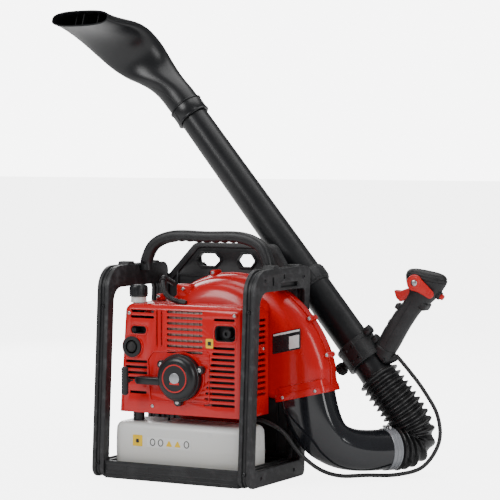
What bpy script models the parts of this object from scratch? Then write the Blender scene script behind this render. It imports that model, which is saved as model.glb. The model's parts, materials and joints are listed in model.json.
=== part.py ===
"""Backpack leaf blower: a two-stroke engine and fan in a carrying frame, with a
flexible hose, two blower tubes, a flat nozzle and a control grip.

Metres, +Z up, +X to the blower's outlet side, +Y towards the wearer's back.
The origin is the centre of the base tray's underside.
"""
import math

import bmesh
import bpy
from mathutils import Matrix, Vector

# ---------------------------------------------------------------- driving dimensions
GAP = 0.0003                 # clearance between pieces that touch
MERGE = 0.00002              # welding distance for coincident points

FRAME_WIDTH = 0.370          # over the two side loops
FRAME_SIDE = FRAME_WIDTH / 2   # face of a side loop, from the middle
FRAME_DEPTH = 0.236          # front to back at the floor
FRAME_HEIGHT = 0.432         # top of the side loops
FRAME_LEAN = 0.0625          # backward lean, metres of Y per metre of Z
LOOP_WIDTH = 0.028           # side loop, across
FRONT_POST = 0.022           # side loop, front post depth
REAR_POST = 0.022            # side loop, rear post depth
TOP_RAIL = 0.045             # side loop, top rail height
BOTTOM_RAIL = 0.034          # side loop, bottom rail height

TRAY_HEIGHT = 0.036
TRAY_INSET = 0.006           # tray edge behind the posts' faces
TRAY_WALL = 0.006
PANEL_THICKNESS = 0.016
PANEL_SHOULDER = 0.395       # panel height at its outer corners
PANEL_TOP = 0.474            # panel height in the middle

HANDLE_Y = 0.034             # carry handle's plane at its feet
HANDLE_TOP = 0.502
HANDLE_BAR = 0.0125          # bar radius
HANDLE_FLAT = 0.080          # half length of the straight grip
HANDLE_FOOT = 0.420          # height where the handle meets the loops
HANDLE_BEND = (0.0177, 0.474)      # its bend: in from the foot, and height

TANK_HEIGHT = 0.079
TANK_FRONT = 0.088
TANK_BACK = 0.022

CRANK_X = 0.010              # crankshaft, fan and starter axis
CRANK_Z = 0.212
SHAFT_RADIUS = 0.006

COVER_LEFT = 0.144
COVER_RIGHT = 0.150
COVER_FRONT = 0.082
COVER_BACK = 0.026
COVER_BOTTOM = 0.135
COVER_TOP = 0.357
COVER_WALL = 0.003
COVER_TAPER = 0.015          # left side leans in by this much at the top

SCROLL_START = 0.112         # fan housing radius at its tongue
SCROLL_END = 0.262           # fan housing radius at its outlet
SCROLL_POWER = 1.8
SCROLL_TONGUE = math.radians(-22)
SCROLL_TURN = math.radians(333)
HOUSING_FRONT = 0.0283
HOUSING_BACK = 0.104
HOUSING_SPLIT = 0.066
HOUSING_WALL = 0.003
OUTLET_TILT = math.radians(13.3)
OUTLET_CENTRE = (FRAME_SIDE + 0.0340, 0.1730)   # X and Z of the outlet's rim
OUTLET_WIDTH = 0.1126

FAN_RADIUS = 0.100
FAN_BLADES = 12
INTAKE_RADIUS = 0.062

ELBOW_END = Vector((FRAME_SIDE + 0.150, 0.178, 0.0555))
HOSE_HEADING = Vector((0.5, 0.866, 0.0)).normalized()
ELBOW_RADIUS = 0.042
DUCT_WALL = 0.003
HOSE_RADIUS = 0.046
HOSE_INNER = 0.0370
HOSE_RIBS = 15
HOSE_PULL = 0.100            # how strongly each end of the hose runs straight on
END_RUN = 0.004              # straight bit at each end of a duct

TUBE_FOOT = Vector((FRAME_SIDE + 0.1170, 0.220, 0.2030))
TUBE_AXIS = Vector((-0.635, 0.0, 0.7725)).normalized()
TUBE_SIDE = Vector((TUBE_AXIS.z, 0.0, -TUBE_AXIS.x))
LOWER_TUBE_LENGTH = 0.248
LOWER_TUBE_RADIUS = 0.0352
UPPER_TUBE_LENGTH = 0.444
UPPER_TUBE_RADIUS = 0.0330
TUBE_WALL = 0.002
RING_LENGTH = 0.034
RING_WALL, RING_END_WALL = 0.0050, 0.0030
COLLAR_LENGTH = 0.036

BRACKET_AT = 0.0590          # clamp's centre along the lower tube
BRACKET_LENGTH = 0.050
BRACKET_WALL = 0.0085          # over the seat, which is the tube and its gap
BRACKET_RADIUS = LOWER_TUBE_RADIUS + GAP + BRACKET_WALL
BRACKET_EAR = BRACKET_RADIUS + 0.0040    # end of the ear that the knob bears on
BRACKET_LUG = BRACKET_RADIUS + 0.0120    # end of the conduit's lug
GRIP_AXIS = Vector((0.506, 0.0, 0.862)).normalized()
GRIP_PLACED_AT = 0.0440        # bracket radius for which the grip's foot is given
GRIP_FOOT = (Vector((FRAME_SIDE + 0.1380, 0.220, 0.2620))
             + TUBE_SIDE * (BRACKET_RADIUS - GRIP_PLACED_AT))
GRIP_RADIUS = 0.0200

FOOT_SLOT_PITCH = 0.0115     # spacing of the cover's louvres
LOUVRE = 0.0055              # louvre opening height

BLACK = (0.020, 0.021, 0.024, 1)
GLOSS_BLACK = (0.012, 0.013, 0.016, 1)
RED = (0.680, 0.006, 0.008, 1)
WHITE = (0.78, 0.78, 0.76, 1)
STEEL = (0.55, 0.55, 0.56, 1)
ALUMINIUM = (0.62, 0.63, 0.64, 1)
GREY = (0.25, 0.25, 0.26, 1)

COLLECTION = "backpack_leaf_blower"
CUTTERS = "cutters"


# ---------------------------------------------------------------- scene helpers
def clear_scene():
    """Remove every object, and make the two collections."""
    for obj in list(bpy.data.objects):
        bpy.data.objects.remove(obj, do_unlink=True)
    for name in (COLLECTION, CUTTERS):
        group = bpy.data.collections.new(name)
        bpy.context.scene.collection.children.link(group)


def material(name, colour, roughness, metallic=0.0):
    """A plain Principled material."""
    mat = bpy.data.materials.new(name)
    mat.use_nodes = True
    shader = mat.node_tree.nodes["Principled BSDF"]
    shader.inputs["Base Color"].default_value = colour
    shader.inputs["Roughness"].default_value = roughness
    shader.inputs["Metallic"].default_value = metallic
    return mat


def add_mesh(name, mesh, mat=None):
    """Link a mesh as a part, or as a cutter when it has no material."""
    obj = bpy.data.objects.new(name, mesh)
    group = bpy.data.collections[COLLECTION if mat else CUTTERS]
    group.objects.link(obj)
    if mat:
        mesh.materials.clear()
        mesh.materials.append(mat)
    else:
        obj.hide_render = True
        obj.display_type = "WIRE"
    return obj


def bm_to_mesh(name, bm):
    """Turn a bmesh into a mesh with outward faces."""
    bmesh.ops.recalc_face_normals(bm, faces=bm.faces)
    mesh = bpy.data.meshes.new(name)
    bm.to_mesh(mesh)
    bm.free()
    return mesh


def smooth(obj, angle=35):
    """Shade a round piece smooth, with sharp edges kept."""
    obj.data.shade_smooth()
    obj.data.set_sharp_from_angle(angle=math.radians(angle))
    return obj


def bevel(obj, width, segments=2, angle=30):
    """Round the edges of a piece."""
    mod = obj.modifiers.new("round", "BEVEL")
    mod.width = width
    mod.segments = segments
    mod.limit_method = "ANGLE"
    mod.angle_limit = math.radians(angle)
    return obj


def boolean(obj, other, operation="DIFFERENCE"):
    """Cut or join another mesh, which becomes a hidden cutter."""
    mod = obj.modifiers.new(operation.lower(), "BOOLEAN")
    mod.object = other
    mod.operation = operation
    mod.solver = "EXACT"
    return obj


def box_mesh(name, low, high):
    """A box from its lowest to its highest corner."""
    bm = bmesh.new()
    bmesh.ops.create_cube(bm, size=1.0)
    low, high = Vector(low), Vector(high)
    for vert in bm.verts:
        part = vert.co + Vector((0.5, 0.5, 0.5))
        vert.co = Vector(low[i] + part[i] * (high[i] - low[i]) for i in range(3))
    return bm_to_mesh(name, bm)


def box(name, low, high, mat=None, round_by=0.0, lean=0.0, segments=2):
    """A box, leaned back when lean is given."""
    obj = add_mesh(name, box_mesh(name, low, high), mat)
    for vert in obj.data.vertices:
        vert.co.y += lean * vert.co.z
    if round_by:
        bevel(obj, round_by, segments)
    return obj


def boxes(name, corners):
    """One cutter made of separate boxes."""
    bm = bmesh.new()
    for low, high in corners:
        mesh = box_mesh(name, low, high)
        bm.from_mesh(mesh)
        bpy.data.meshes.remove(mesh)
    return add_mesh(name, bm_to_mesh(name, bm))


def axis_matrix(origin, axis, side=Vector((0, 1, 0))):
    """A frame whose Z runs along axis and whose X is close to side."""
    z = Vector(axis).normalized()
    x = Vector(side) - z * Vector(side).dot(z)
    if x.length < 1e-6:
        x = z.orthogonal()
    x.normalize()
    y = z.cross(x)
    rot = Matrix((x, y, z)).transposed().to_4x4()
    return Matrix.Translation(Vector(origin)) @ rot


def turned(name, profile, origin, axis, mat=None, steps=24, side=Vector((0, 1, 0))):
    """A turned piece: (radius, height) points from top to bottom of the outer side.

    A profile that starts and ends on the axis is solid; any other one is closed
    on itself and leaves a bore.
    """
    mesh = bpy.data.meshes.new(name)
    points = [(r, 0.0, h) for r, h in profile]
    count = len(points)
    edges = [(i, i + 1) for i in range(count - 1)]
    if profile[0][0] > 0:
        edges.append((count - 1, 0))
    mesh.from_pydata(points, edges, [])
    obj = add_mesh(name, mesh, mat)
    screw = obj.modifiers.new("turn", "SCREW")
    screw.steps = steps
    screw.render_steps = steps
    screw.use_merge_vertices = True
    screw.merge_threshold = MERGE
    screw.use_smooth_shade = False
    obj.matrix_world = axis_matrix(origin, axis, side)
    return obj


def rod(name, radius, start, end, mat=None, steps=16, chamfer=0.0):
    """A solid round bar between two points."""
    start, end = Vector(start), Vector(end)
    length = (end - start).length
    if chamfer:
        profile = [(0, length), (radius - chamfer, length), (radius, length - chamfer),
                   (radius, chamfer), (radius - chamfer, 0), (0, 0)]
    else:
        profile = [(0, length), (radius, length), (radius, 0), (0, 0)]
    return turned(name, profile, start, end - start, mat, steps)


def sleeve(name, outer, inner, start, end, mat=None, steps=24):
    """A round pipe between two points."""
    start, end = Vector(start), Vector(end)
    length = (end - start).length
    profile = [(inner, length), (outer, length), (outer, 0), (inner, 0)]
    return turned(name, profile, start, end - start, mat, steps)


def baked(obj):
    """Replace a cutter's modifiers and placement by its plain world mesh."""
    depsgraph = bpy.context.evaluated_depsgraph_get()
    mesh = bpy.data.meshes.new_from_object(obj.evaluated_get(depsgraph))
    mesh.transform(obj.matrix_world)
    name = obj.name
    bpy.data.objects.remove(obj, do_unlink=True)
    return add_mesh(name, mesh)


def plate(name, loops, low, high, mat=None, to_world=None):
    """A flat outline, with any holes, given a thickness from low to high."""
    curve = bpy.data.curves.new(name, "CURVE")
    curve.dimensions = "2D"
    curve.fill_mode = "BOTH"
    curve.extrude = (high - low) / 2
    for loop in loops:
        spline = curve.splines.new("POLY")
        spline.points.add(len(loop) - 1)
        for point, (u, v) in zip(spline.points, loop):
            point.co = (u, v, 0, 1)
        spline.use_cyclic_u = True
    obj = bpy.data.objects.new(name + "_outline", curve)
    bpy.data.collections[CUTTERS].objects.link(obj)
    depsgraph = bpy.context.evaluated_depsgraph_get()
    mesh = bpy.data.meshes.new_from_object(obj.evaluated_get(depsgraph))
    bpy.data.objects.remove(obj, do_unlink=True)
    mesh.transform(Matrix.Translation((0, 0, (low + high) / 2)))
    if to_world:
        mesh.transform(to_world)
    bm = bmesh.new()
    bm.from_mesh(mesh)
    bmesh.ops.remove_doubles(bm, verts=bm.verts, dist=MERGE)
    bpy.data.meshes.remove(mesh)
    return add_mesh(name, bm_to_mesh(name, bm), mat)


ACROSS = Matrix(((0, 0, 1, 0), (1, 0, 0, 0), (0, 1, 0, 0), (0, 0, 0, 1)))   # Y, Z, X
FACING = Matrix(((1, 0, 0, 0), (0, 0, -1, 0), (0, 1, 0, 0), (0, 0, 0, 1)))  # X, Z, -Y


def rounded_loop(corners, radii, steps=4):
    """A closed outline with its corners rounded by arcs."""
    points = []
    count = len(corners)
    for i in range(count):
        here = Vector(corners[i])
        before = (Vector(corners[i - 1]) - here).normalized()
        after = (Vector(corners[(i + 1) % count]) - here).normalized()
        half = before.angle(after) / 2
        reach = radii[i] / math.tan(half)
        start, end = here + before * reach, here + after * reach
        centre = here + (before + after).normalized() * (radii[i] / math.sin(half))
        first, last = start - centre, end - centre
        sweep = first.angle_signed(last)
        for k in range(steps + 1):
            turn = Matrix.Rotation(-sweep * k / steps, 2)
            points.append(tuple(centre + turn @ first))
    return points


def bezier(p0, p1, p2, p3, t):
    """A point on a cubic curve."""
    s = 1 - t
    return p0 * s ** 3 + p1 * 3 * s * s * t + p2 * 3 * s * t * t + p3 * t ** 3


def through(points, per_span):
    """A smooth curve through the given points."""
    pts = [Vector(p) for p in points]
    path = []
    for i in range(len(pts) - 1):
        a = pts[max(i - 1, 0)]
        b, c = pts[i], pts[i + 1]
        d = pts[min(i + 2, len(pts) - 1)]
        for k in range(per_span):
            t = k / per_span
            path.append(0.5 * (2 * b + (c - a) * t + (2 * a - 5 * b + 4 * c - d) * t * t
                               + (3 * b - a - 3 * c + d) * t ** 3))
    path.append(pts[-1])
    return path


def tube(name, path, radius, mat, bevel_resolution=2):
    """A round cord or wire along a path."""
    curve = bpy.data.curves.new(name, "CURVE")
    curve.dimensions = "3D"
    curve.bevel_depth = radius
    curve.bevel_resolution = bevel_resolution
    curve.use_fill_caps = True
    spline = curve.splines.new("POLY")
    spline.points.add(len(path) - 1)
    for point, co in zip(spline.points, path):
        point.co = (*co, 1)
    curve.materials.append(mat)
    obj = bpy.data.objects.new(name, curve)
    bpy.data.collections[COLLECTION].objects.link(obj)
    return obj


def loft(name, rings, mat=None, inner=None):
    """Join rings of points into a solid, or into a duct when inner rings are given."""
    bm = bmesh.new()

    def skin(sections):
        rows = [[bm.verts.new(p) for p in ring] for ring in sections]
        count = len(rows[0])
        for low, high in zip(rows, rows[1:]):
            for k in range(count):
                n = (k + 1) % count
                bm.faces.new((low[k], low[n], high[n], high[k]))
        return rows

    outside = skin(rings)
    if inner is None:
        bm.faces.new(outside[0])
        bm.faces.new(outside[-1])
    else:
        inside = skin(inner)
        for out_ring, in_ring in ((outside[0], inside[0]), (outside[-1], inside[-1])):
            count = len(out_ring)
            for k in range(count):
                n = (k + 1) % count
                bm.faces.new((out_ring[k], out_ring[n], in_ring[n], in_ring[k]))
    return add_mesh(name, bm_to_mesh(name, bm), mat)


def path_frames(path, first_side):
    """A point, a side and an up direction at each point, without twist."""
    frames = []
    side = Vector(first_side)
    for i, point in enumerate(path):
        ahead = (path[min(i + 1, len(path) - 1)] - path[max(i - 1, 0)]).normalized()
        side = (side - ahead * side.dot(ahead)).normalized()
        frames.append((point, side, ahead.cross(side)))
    return frames


def section(frame, half_width, half_height, power=2.0, count=24):
    """A ring of points: an ellipse, squarer as power grows."""
    point, side, up = frame
    ring = []
    for k in range(count):
        angle = 2 * math.pi * k / count
        c, s = math.cos(angle), math.sin(angle)
        x = math.copysign(abs(c) ** (2 / power), c) * half_width
        y = math.copysign(abs(s) ** (2 / power), s) * half_height
        ring.append(point + side * x + up * y)
    return ring


def lean(y, z):
    """Where the leaning frame puts a point of its base plan at height z."""
    return y + FRAME_LEAN * z


# ---------------------------------------------------------------- carrying frame
INNER_X = FRAME_WIDTH / 2 - LOOP_WIDTH - GAP


def side_loop(name, side, mat):
    """One closed side loop of the frame: posts, top rail and bottom rail."""
    half = FRAME_DEPTH / 2
    top = FRAME_HEIGHT
    outer = [(-half, 0), (half, 0), (lean(half, top), top), (lean(-half, top), top)]
    low, high = BOTTOM_RAIL, FRAME_HEIGHT - TOP_RAIL
    front, back = -half + FRONT_POST, half - REAR_POST
    inner = [(lean(front, low), low), (lean(back, low), low),
             (lean(back, high), high), (lean(front, high), high)]
    loops = [rounded_loop(outer, (0.020, 0.012, 0.020, 0.050)),
             rounded_loop(inner, (0.008, 0.008, 0.012, 0.030))]
    edge = FRAME_WIDTH / 2
    low_x, high_x = (edge - LOOP_WIDTH, edge) if side > 0 else (-edge, LOOP_WIDTH - edge)
    return plate(name, loops, low_x, high_x, mat, ACROSS)


def base_tray(mat):
    """The shallow tray between the loops, which holds the fuel tank."""
    half = FRAME_DEPTH / 2 - TRAY_INSET
    tray = box("base_tray", (-INNER_X, -half, 0), (INNER_X, half, TRAY_HEIGHT), mat)
    inner = box("base_tray_hollow",
                (TRAY_WALL - INNER_X, TRAY_WALL - half, TRAY_WALL),
                (INNER_X - TRAY_WALL, half - TRAY_WALL, TRAY_HEIGHT + TRAY_WALL))
    return boolean(tray, inner)


def hexagon(x, z, width, height):
    """A six-sided opening with pointed ends."""
    w, h = width / 2, height / 2
    return [(x - w, z), (x - w * 0.55, z - h), (x + w * 0.55, z - h),
            (x + w, z), (x + w * 0.55, z + h), (x - w * 0.55, z + h)]


PANEL_BACK = FRAME_DEPTH / 2
PANEL_FRONT = PANEL_BACK - PANEL_THICKNESS
PANEL_HOLES = ((-0.052, 0.438, 0.060, 0.026), (0.039, 0.438, 0.044, 0.026))


def back_panel(mat):
    """The upright panel that joins the loops at the wearer's side."""
    x = INNER_X
    outer = [(-x, TRAY_HEIGHT + GAP), (x, TRAY_HEIGHT + GAP), (x, PANEL_SHOULDER),
             (0.105, PANEL_TOP), (-0.085, PANEL_TOP), (-x, PANEL_SHOULDER)]
    loops = [rounded_loop(outer, (0.004, 0.004, 0.010, 0.020, 0.020, 0.010), 2)]
    loops += [hexagon(*hole) for hole in PANEL_HOLES]
    panel = plate("back_panel", loops, -PANEL_BACK, -PANEL_FRONT, mat, FACING)
    for vert in panel.data.vertices:
        vert.co.y += FRAME_LEAN * vert.co.z
    return panel


def carry_handle(mat):
    """The arched handle between the two loops' top rails."""
    foot_x = INNER_X - HANDLE_BAR - 0.0015
    centre = HANDLE_TOP - HANDLE_BAR
    bend_x, bend_z = foot_x - HANDLE_BEND[0], HANDLE_BEND[1]
    route = [(-foot_x, HANDLE_FOOT), (-foot_x, HANDLE_FOOT + 0.022), (-bend_x, bend_z),
             (-HANDLE_FLAT, centre), (0, centre), (HANDLE_FLAT, centre), (bend_x, bend_z),
             (foot_x, HANDLE_FOOT + 0.022), (foot_x, HANDLE_FOOT)]
    y_at = lean(HANDLE_Y, 0) - FRAME_LEAN * HANDLE_FOOT
    points = [Vector((x, lean(y_at, z), z)) for x, z in route]
    path = through(points, 3)
    frames = path_frames(path, Vector((0, 1, 0)))
    rings = [section(f, HANDLE_BAR, HANDLE_BAR, 2.6, 12) for f in frames]
    return smooth(loft("carry_handle", rings, mat))


def back_pad(mat):
    """The cushion between the panel and the wearer."""
    return box("back_pad", (-0.100, PANEL_BACK + GAP, 0.110),
               (0.100, PANEL_BACK + 0.020, 0.372), mat, 0.006, FRAME_LEAN, 1)


STRAP_X = 0.088
STRAP_WIDTH = 0.050
STRAP_THICKNESS = 0.010
STRAP_ROUTE = ((0.1506, 0.4300), (0.1700, 0.4000), (0.1740, 0.3300), (0.1700, 0.2500),
               (0.1600, 0.1600), (0.1440, 0.0900))


def shoulder_strap(name, x, mat):
    """A padded strap over the back pad, as a bent band."""
    path = through([(0, y, z) for y, z in STRAP_ROUTE], 3)
    frames = path_frames(path, Vector((1, 0, 0)))
    rings = []
    for point, side, up in frames:
        corners = [(-1, -1), (1, -1), (1, 1), (-1, 1)]
        rings.append([point + side * (a * STRAP_WIDTH / 2) + up * (b * STRAP_THICKNESS / 2)
                      + Vector((x, 0, 0)) for a, b in corners])
    return loft(name, rings, mat)


def strap_buckle(name, x, mat):
    """The ladder buckle under a shoulder strap."""
    return box(name, (x - 0.022, 0.1330, 0.0440), (x + 0.022, 0.1420, 0.0800), mat, 0.002,
               segments=1)


def rubber_mount(name, x, z, mat):
    """A rubber bush between the fan housing and the back panel."""
    front = HOUSING_BACK + GAP
    back = lean(PANEL_FRONT, z) - 0.0012
    return rod(name, 0.011, (x, front, z), (x, back, z), mat, 12)


# ---------------------------------------------------------------- fuel system
def fuel_tank(mat):
    """The moulded tank that stands in the tray."""
    x = INNER_X - TRAY_WALL - 2 * GAP
    floor = TRAY_WALL + GAP
    top = TRAY_HEIGHT + TANK_HEIGHT
    tank = box("fuel_tank", (-x, -TANK_FRONT, floor), (x, TANK_BACK, top), mat, 0.012)
    return smooth(tank, 50)


FILLER = Vector((-0.112, -0.050, 0.0))
NECK_RADIUS = 0.0165
CAP_RADIUS = 0.0195


def filler_neck(mat):
    """The red filler neck on top of the cover."""
    low = FILLER + Vector((0, 0, COVER_TOP + GAP + 0.0005))
    high = FILLER + Vector((0, 0, COVER_TOP + 0.0125))
    return sleeve("filler_neck", NECK_RADIUS, 0.0128, low, high, mat)


def fuel_cap(mat):
    """The ribbed screw cap on the filler neck."""
    low = COVER_TOP + 0.0125 + GAP
    profile = [(0, 0.0245), (0.0165, 0.0245), (CAP_RADIUS, 0.0215), (CAP_RADIUS, 0), (0, 0)]
    return turned("fuel_cap", profile, FILLER + Vector((0, 0, low)), (0, 0, 1), mat)


def filler_hose(mat):
    """The hose from the filler neck down to the tank."""
    low = FILLER + Vector((0, 0, TRAY_HEIGHT + TANK_HEIGHT + GAP))
    high = FILLER + Vector((0, 0, COVER_TOP + 0.0105))
    return sleeve("filler_hose", 0.0120, 0.0100, low, high, mat, 16)


def fuel_line(mat):
    """The thin pipe from the tank to the carburettor."""
    top = TRAY_HEIGHT + TANK_HEIGHT
    route = [(-0.052, -0.030, top + GAP), (-0.053, -0.030, 0.150), (-0.052, -0.022, 0.200),
             (-0.050, -0.012, 0.240), (-0.050, -0.010, 0.2615)]
    return tube("fuel_line", through(route, 3), 0.0025, mat)


# ---------------------------------------------------------------- engine
def crank(y):
    """A point on the crankshaft's axis."""
    return Vector((CRANK_X, y, CRANK_Z))


CASE_RADIUS = 0.042
CASE_FRONT = -0.036
CASE_BACK = HOUSING_FRONT - GAP


def crankcase(mat):
    """The drum-shaped crankcase, open at the top and at both bearings."""
    length = CASE_BACK - CASE_FRONT
    outer = rod("crankcase", CASE_RADIUS, crank(CASE_FRONT), crank(CASE_BACK), mat, 24)
    hollow = rod("crankcase_hollow", 0.034, crank(CASE_FRONT + 0.006),
                 crank(CASE_BACK - length * 0.30))
    bearings = rod("crankcase_bearings", SHAFT_RADIUS + 2 * GAP, crank(CASE_FRONT - 0.01),
                   crank(CASE_BACK + 0.01))
    throat_y = CYLINDER_Y
    throat = rod("crankcase_throat", 0.017, (CRANK_X, throat_y, CRANK_Z),
                 (CRANK_X, throat_y, CRANK_Z + 0.060))
    for cutter in (hollow, bearings, throat):
        boolean(outer, baked(cutter))
    return outer


CYLINDER_Y = -0.0085
CYLINDER_FOOT = CRANK_Z + CASE_RADIUS + GAP
CYLINDER_FINS = 6
FIN_PITCH = 0.0110
HEAD_HEIGHT = 0.0140


def cylinder(mat):
    """The finned cylinder on top of the crankcase."""
    bore, barrel, fin = 0.0200, 0.0255, 0.0360
    pitch, web = FIN_PITCH, 0.0032
    top = CYLINDER_FINS * pitch + HEAD_HEIGHT
    profile = [(0, top), (barrel, top)]
    for i in reversed(range(CYLINDER_FINS)):
        z = 0.010 + i * pitch
        profile += [(barrel, z + web), (fin, z + web), (fin, z), (barrel, z)]
    profile += [(barrel, 0), (bore, 0), (bore, top - 0.008), (0, top - 0.008)]
    foot = (CRANK_X, CYLINDER_Y, CYLINDER_FOOT)
    return turned("cylinder", profile, foot, (0, 0, 1), mat, 16)


def piston(mat):
    """The piston, at the middle of its stroke."""
    return rod("piston", 0.0196, (CRANK_X, CYLINDER_Y, 0.2780),
               (CRANK_X, CYLINDER_Y, 0.3030), mat, 20, 0.001)


def con_rod(mat):
    """The connecting rod between the crank webs."""
    half = 0.0038
    bar = box("con_rod", (CRANK_X - 0.005, CYLINDER_Y - half, CRANK_Z + 0.007),
              (CRANK_X + 0.005, CYLINDER_Y + half, 0.2776), mat)
    eye = rod("con_rod_eye", 0.0130, (CRANK_X, CYLINDER_Y - half, CRANK_Z),
              (CRANK_X, CYLINDER_Y + half, CRANK_Z))
    hole = rod("con_rod_hole", 0.0085, (CRANK_X, CYLINDER_Y - 0.01, CRANK_Z),
               (CRANK_X, CYLINDER_Y + 0.01, CRANK_Z))
    boolean(bar, baked(eye), "UNION")
    return boolean(bar, baked(hole))


SHAFT_FRONT = -0.1005
SHAFT_BACK = 0.0950


def crankshaft(mat):
    """The crankshaft with its two round webs."""
    web = 0.0300
    half = 0.0048
    thick = 0.0100
    middle = CYLINDER_Y
    a, b = middle + half, middle - half
    profile = [(0, SHAFT_BACK), (SHAFT_RADIUS, SHAFT_BACK), (SHAFT_RADIUS, a + thick),
               (web, a + thick), (web, a), (SHAFT_RADIUS, a), (SHAFT_RADIUS, b), (web, b),
               (web, b - thick), (SHAFT_RADIUS, b - thick), (SHAFT_RADIUS, SHAFT_FRONT),
               (0, SHAFT_FRONT)]
    return turned("crankshaft", profile, (CRANK_X, 0, CRANK_Z), (0, 1, 0), mat, 20,
                  Vector((1, 0, 0)))


def flywheel(mat):
    """The magnet flywheel behind the starter."""
    inner = SHAFT_RADIUS + GAP
    profile = [(inner, 0.018), (0.014, 0.018), (0.016, 0.008), (0.046, 0.008), (0.046, 0.016),
               (0.052, 0.016), (0.052, 0), (inner, 0)]
    return turned("flywheel", profile, crank(-0.0610), (0, 1, 0), mat, 24, Vector((1, 0, 0)))


def ignition_coil(mat):
    """The coil beside the flywheel's rim."""
    return box("ignition_coil", (CRANK_X + 0.020, -0.0600, 0.2680),
               (CRANK_X + 0.050, -0.0460, 0.2900), mat)


def muffler(mat):
    """The exhaust silencer, on the cylinder's outlet side."""
    shell = box("muffler", (0.066, -0.0560, 0.2500), (0.138, 0.0160, 0.3380), mat, 0.010)
    outlet = sleeve("muffler_outlet", 0.0085, 0.0065, (0.1100, -0.0500, 0.3040),
                    (0.1100, -0.0720, 0.3040))
    port = rod("muffler_port", 0.0120, (0.0464, CYLINDER_Y, 0.2920),
               (0.0700, CYLINDER_Y, 0.2920))
    boolean(shell, baked(outlet), "UNION")
    return boolean(shell, baked(port), "UNION")


def carburettor(mat):
    """The carburettor between the air filter and the cylinder."""
    body = box("carburettor", (-0.066, -0.0260, 0.2620), (-0.034, 0.0090, 0.2960), mat, 0.003)
    throat = rod("carburettor_throat", 0.0110, (-0.0690, CYLINDER_Y, 0.2790),
                 (-0.0262, CYLINDER_Y, 0.2790))
    return boolean(body, baked(throat), "UNION")


def air_filter(mat):
    """The filter box on the carburettor's inlet side."""
    return box("air_filter", (-0.1240, -0.0250, 0.2500), (-0.0694, 0.0200, 0.3300), mat, 0.006)


def spark_plug(mat):
    """The spark plug in the cylinder head."""
    foot = CYLINDER_FOOT + CYLINDER_FINS * FIN_PITCH + HEAD_HEIGHT + GAP
    profile = [(0, 0.0160), (0.0030, 0.0160), (0.0045, 0.0060), (0.0075, 0.0050),
               (0.0075, 0), (0, 0)]
    return turned("spark_plug", profile, (CRANK_X, CYLINDER_Y, foot), (0, 0, 1), mat, 12)


# ---------------------------------------------------------------- engine cover
def cover_block(name, grow, mat=None):
    """The cover's outer shape, or its hollow when grow is negative."""
    low = (-COVER_LEFT - grow, -COVER_FRONT - grow, COVER_BOTTOM)
    high = (COVER_RIGHT + grow, COVER_BACK, COVER_TOP + grow)
    if grow < 0:
        low = (low[0], low[1], COVER_BOTTOM - 0.010)
        high = (high[0], COVER_BACK + 0.010, high[2])
    block = box(name, low, high, mat)
    for vert in block.data.vertices:
        rise = (vert.co.z - COVER_BOTTOM) / (COVER_TOP - COVER_BOTTOM)
        if vert.co.x < 0:
            vert.co.x += COVER_TAPER * rise
    return bevel(block, 0.014 + grow, 3)


def louvres(low_x, high_x, top, count, pitch=FOOT_SLOT_PITCH):
    """A column of level slots in the cover's front face."""
    return [((low_x, -COVER_FRONT - 0.01, top - i * pitch - LOUVRE),
             (high_x, -COVER_FRONT + 0.01, top - i * pitch)) for i in range(count)]


def side_louvres(low_y, high_y, top, count, pitch=FOOT_SLOT_PITCH):
    """A column of level slots in the cover's outlet-side face."""
    return [((COVER_RIGHT - 0.01, low_y, top - i * pitch - LOUVRE),
             (COVER_RIGHT + 0.01, high_y, top - i * pitch)) for i in range(count)]


CHOKE = Vector((-0.0920, -COVER_FRONT, 0.3040))
PRIMER = Vector((-0.1070, -COVER_FRONT, 0.2690))
OUTLET_WINDOW = Vector((0.1100, -COVER_FRONT, 0.3040))


def engine_cover(mat):
    """The red louvred cover over the engine."""
    cover = cover_block("engine_cover", 0.0, mat)
    boolean(cover, cover_block("engine_cover_hollow", -COVER_WALL))
    slots = louvres(-0.026, 0.058, 0.3460, 8)
    slots += louvres(-0.112, -0.056, 0.3450, 2)
    slots += louvres(-0.124, -0.072, 0.2420, 4)
    slots += louvres(-0.114, -0.074, 0.1790, 1)
    slots += louvres(0.084, 0.138, 0.3340, 1)
    slots += louvres(0.082, 0.138, 0.2770, 11)
    slots += side_louvres(-0.020, 0.014, 0.3300, 14)
    windows = [((CHOKE.x - 0.018, CHOKE.y - 0.01, CHOKE.z - 0.008),
                (CHOKE.x + 0.018, CHOKE.y + 0.01, CHOKE.z + 0.008)),
               ((OUTLET_WINDOW.x - 0.024, OUTLET_WINDOW.y - 0.01, OUTLET_WINDOW.z - 0.016),
                (OUTLET_WINDOW.x + 0.024, OUTLET_WINDOW.y + 0.01, OUTLET_WINDOW.z + 0.016)),
               ((FILLER.x - 0.0125, FILLER.y - 0.0125, COVER_TOP - 0.01),
                (FILLER.x + 0.0125, FILLER.y + 0.0125, COVER_TOP + 0.01))]
    boolean(cover, boxes("engine_cover_slots", slots + windows))
    dial = rod("engine_cover_dial", 0.0217, PRIMER + Vector((0, -0.01, 0)),
               PRIMER + Vector((0, 0.01, 0)))
    starter = rod("engine_cover_starter", 0.0380, crank(-COVER_FRONT - 0.01),
                  crank(-COVER_FRONT + 0.01))
    boolean(cover, baked(dial))
    return boolean(cover, baked(starter))


def choke_lever(mat):
    """The sliding choke tab in its window."""
    return box("choke_lever", (CHOKE.x - 0.0140, CHOKE.y - 0.0060, CHOKE.z - 0.0045),
               (CHOKE.x - 0.0040, CHOKE.y + 0.0100, CHOKE.z + 0.0045), mat, 0.0012, segments=1)


def primer_base(mat):
    """The round bezel around the primer bulb."""
    return sleeve("primer_base", 0.0213, 0.0140, PRIMER + Vector((0, 0.006, 0)),
                  PRIMER + Vector((0, -0.005, 0)), mat, 24)


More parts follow.
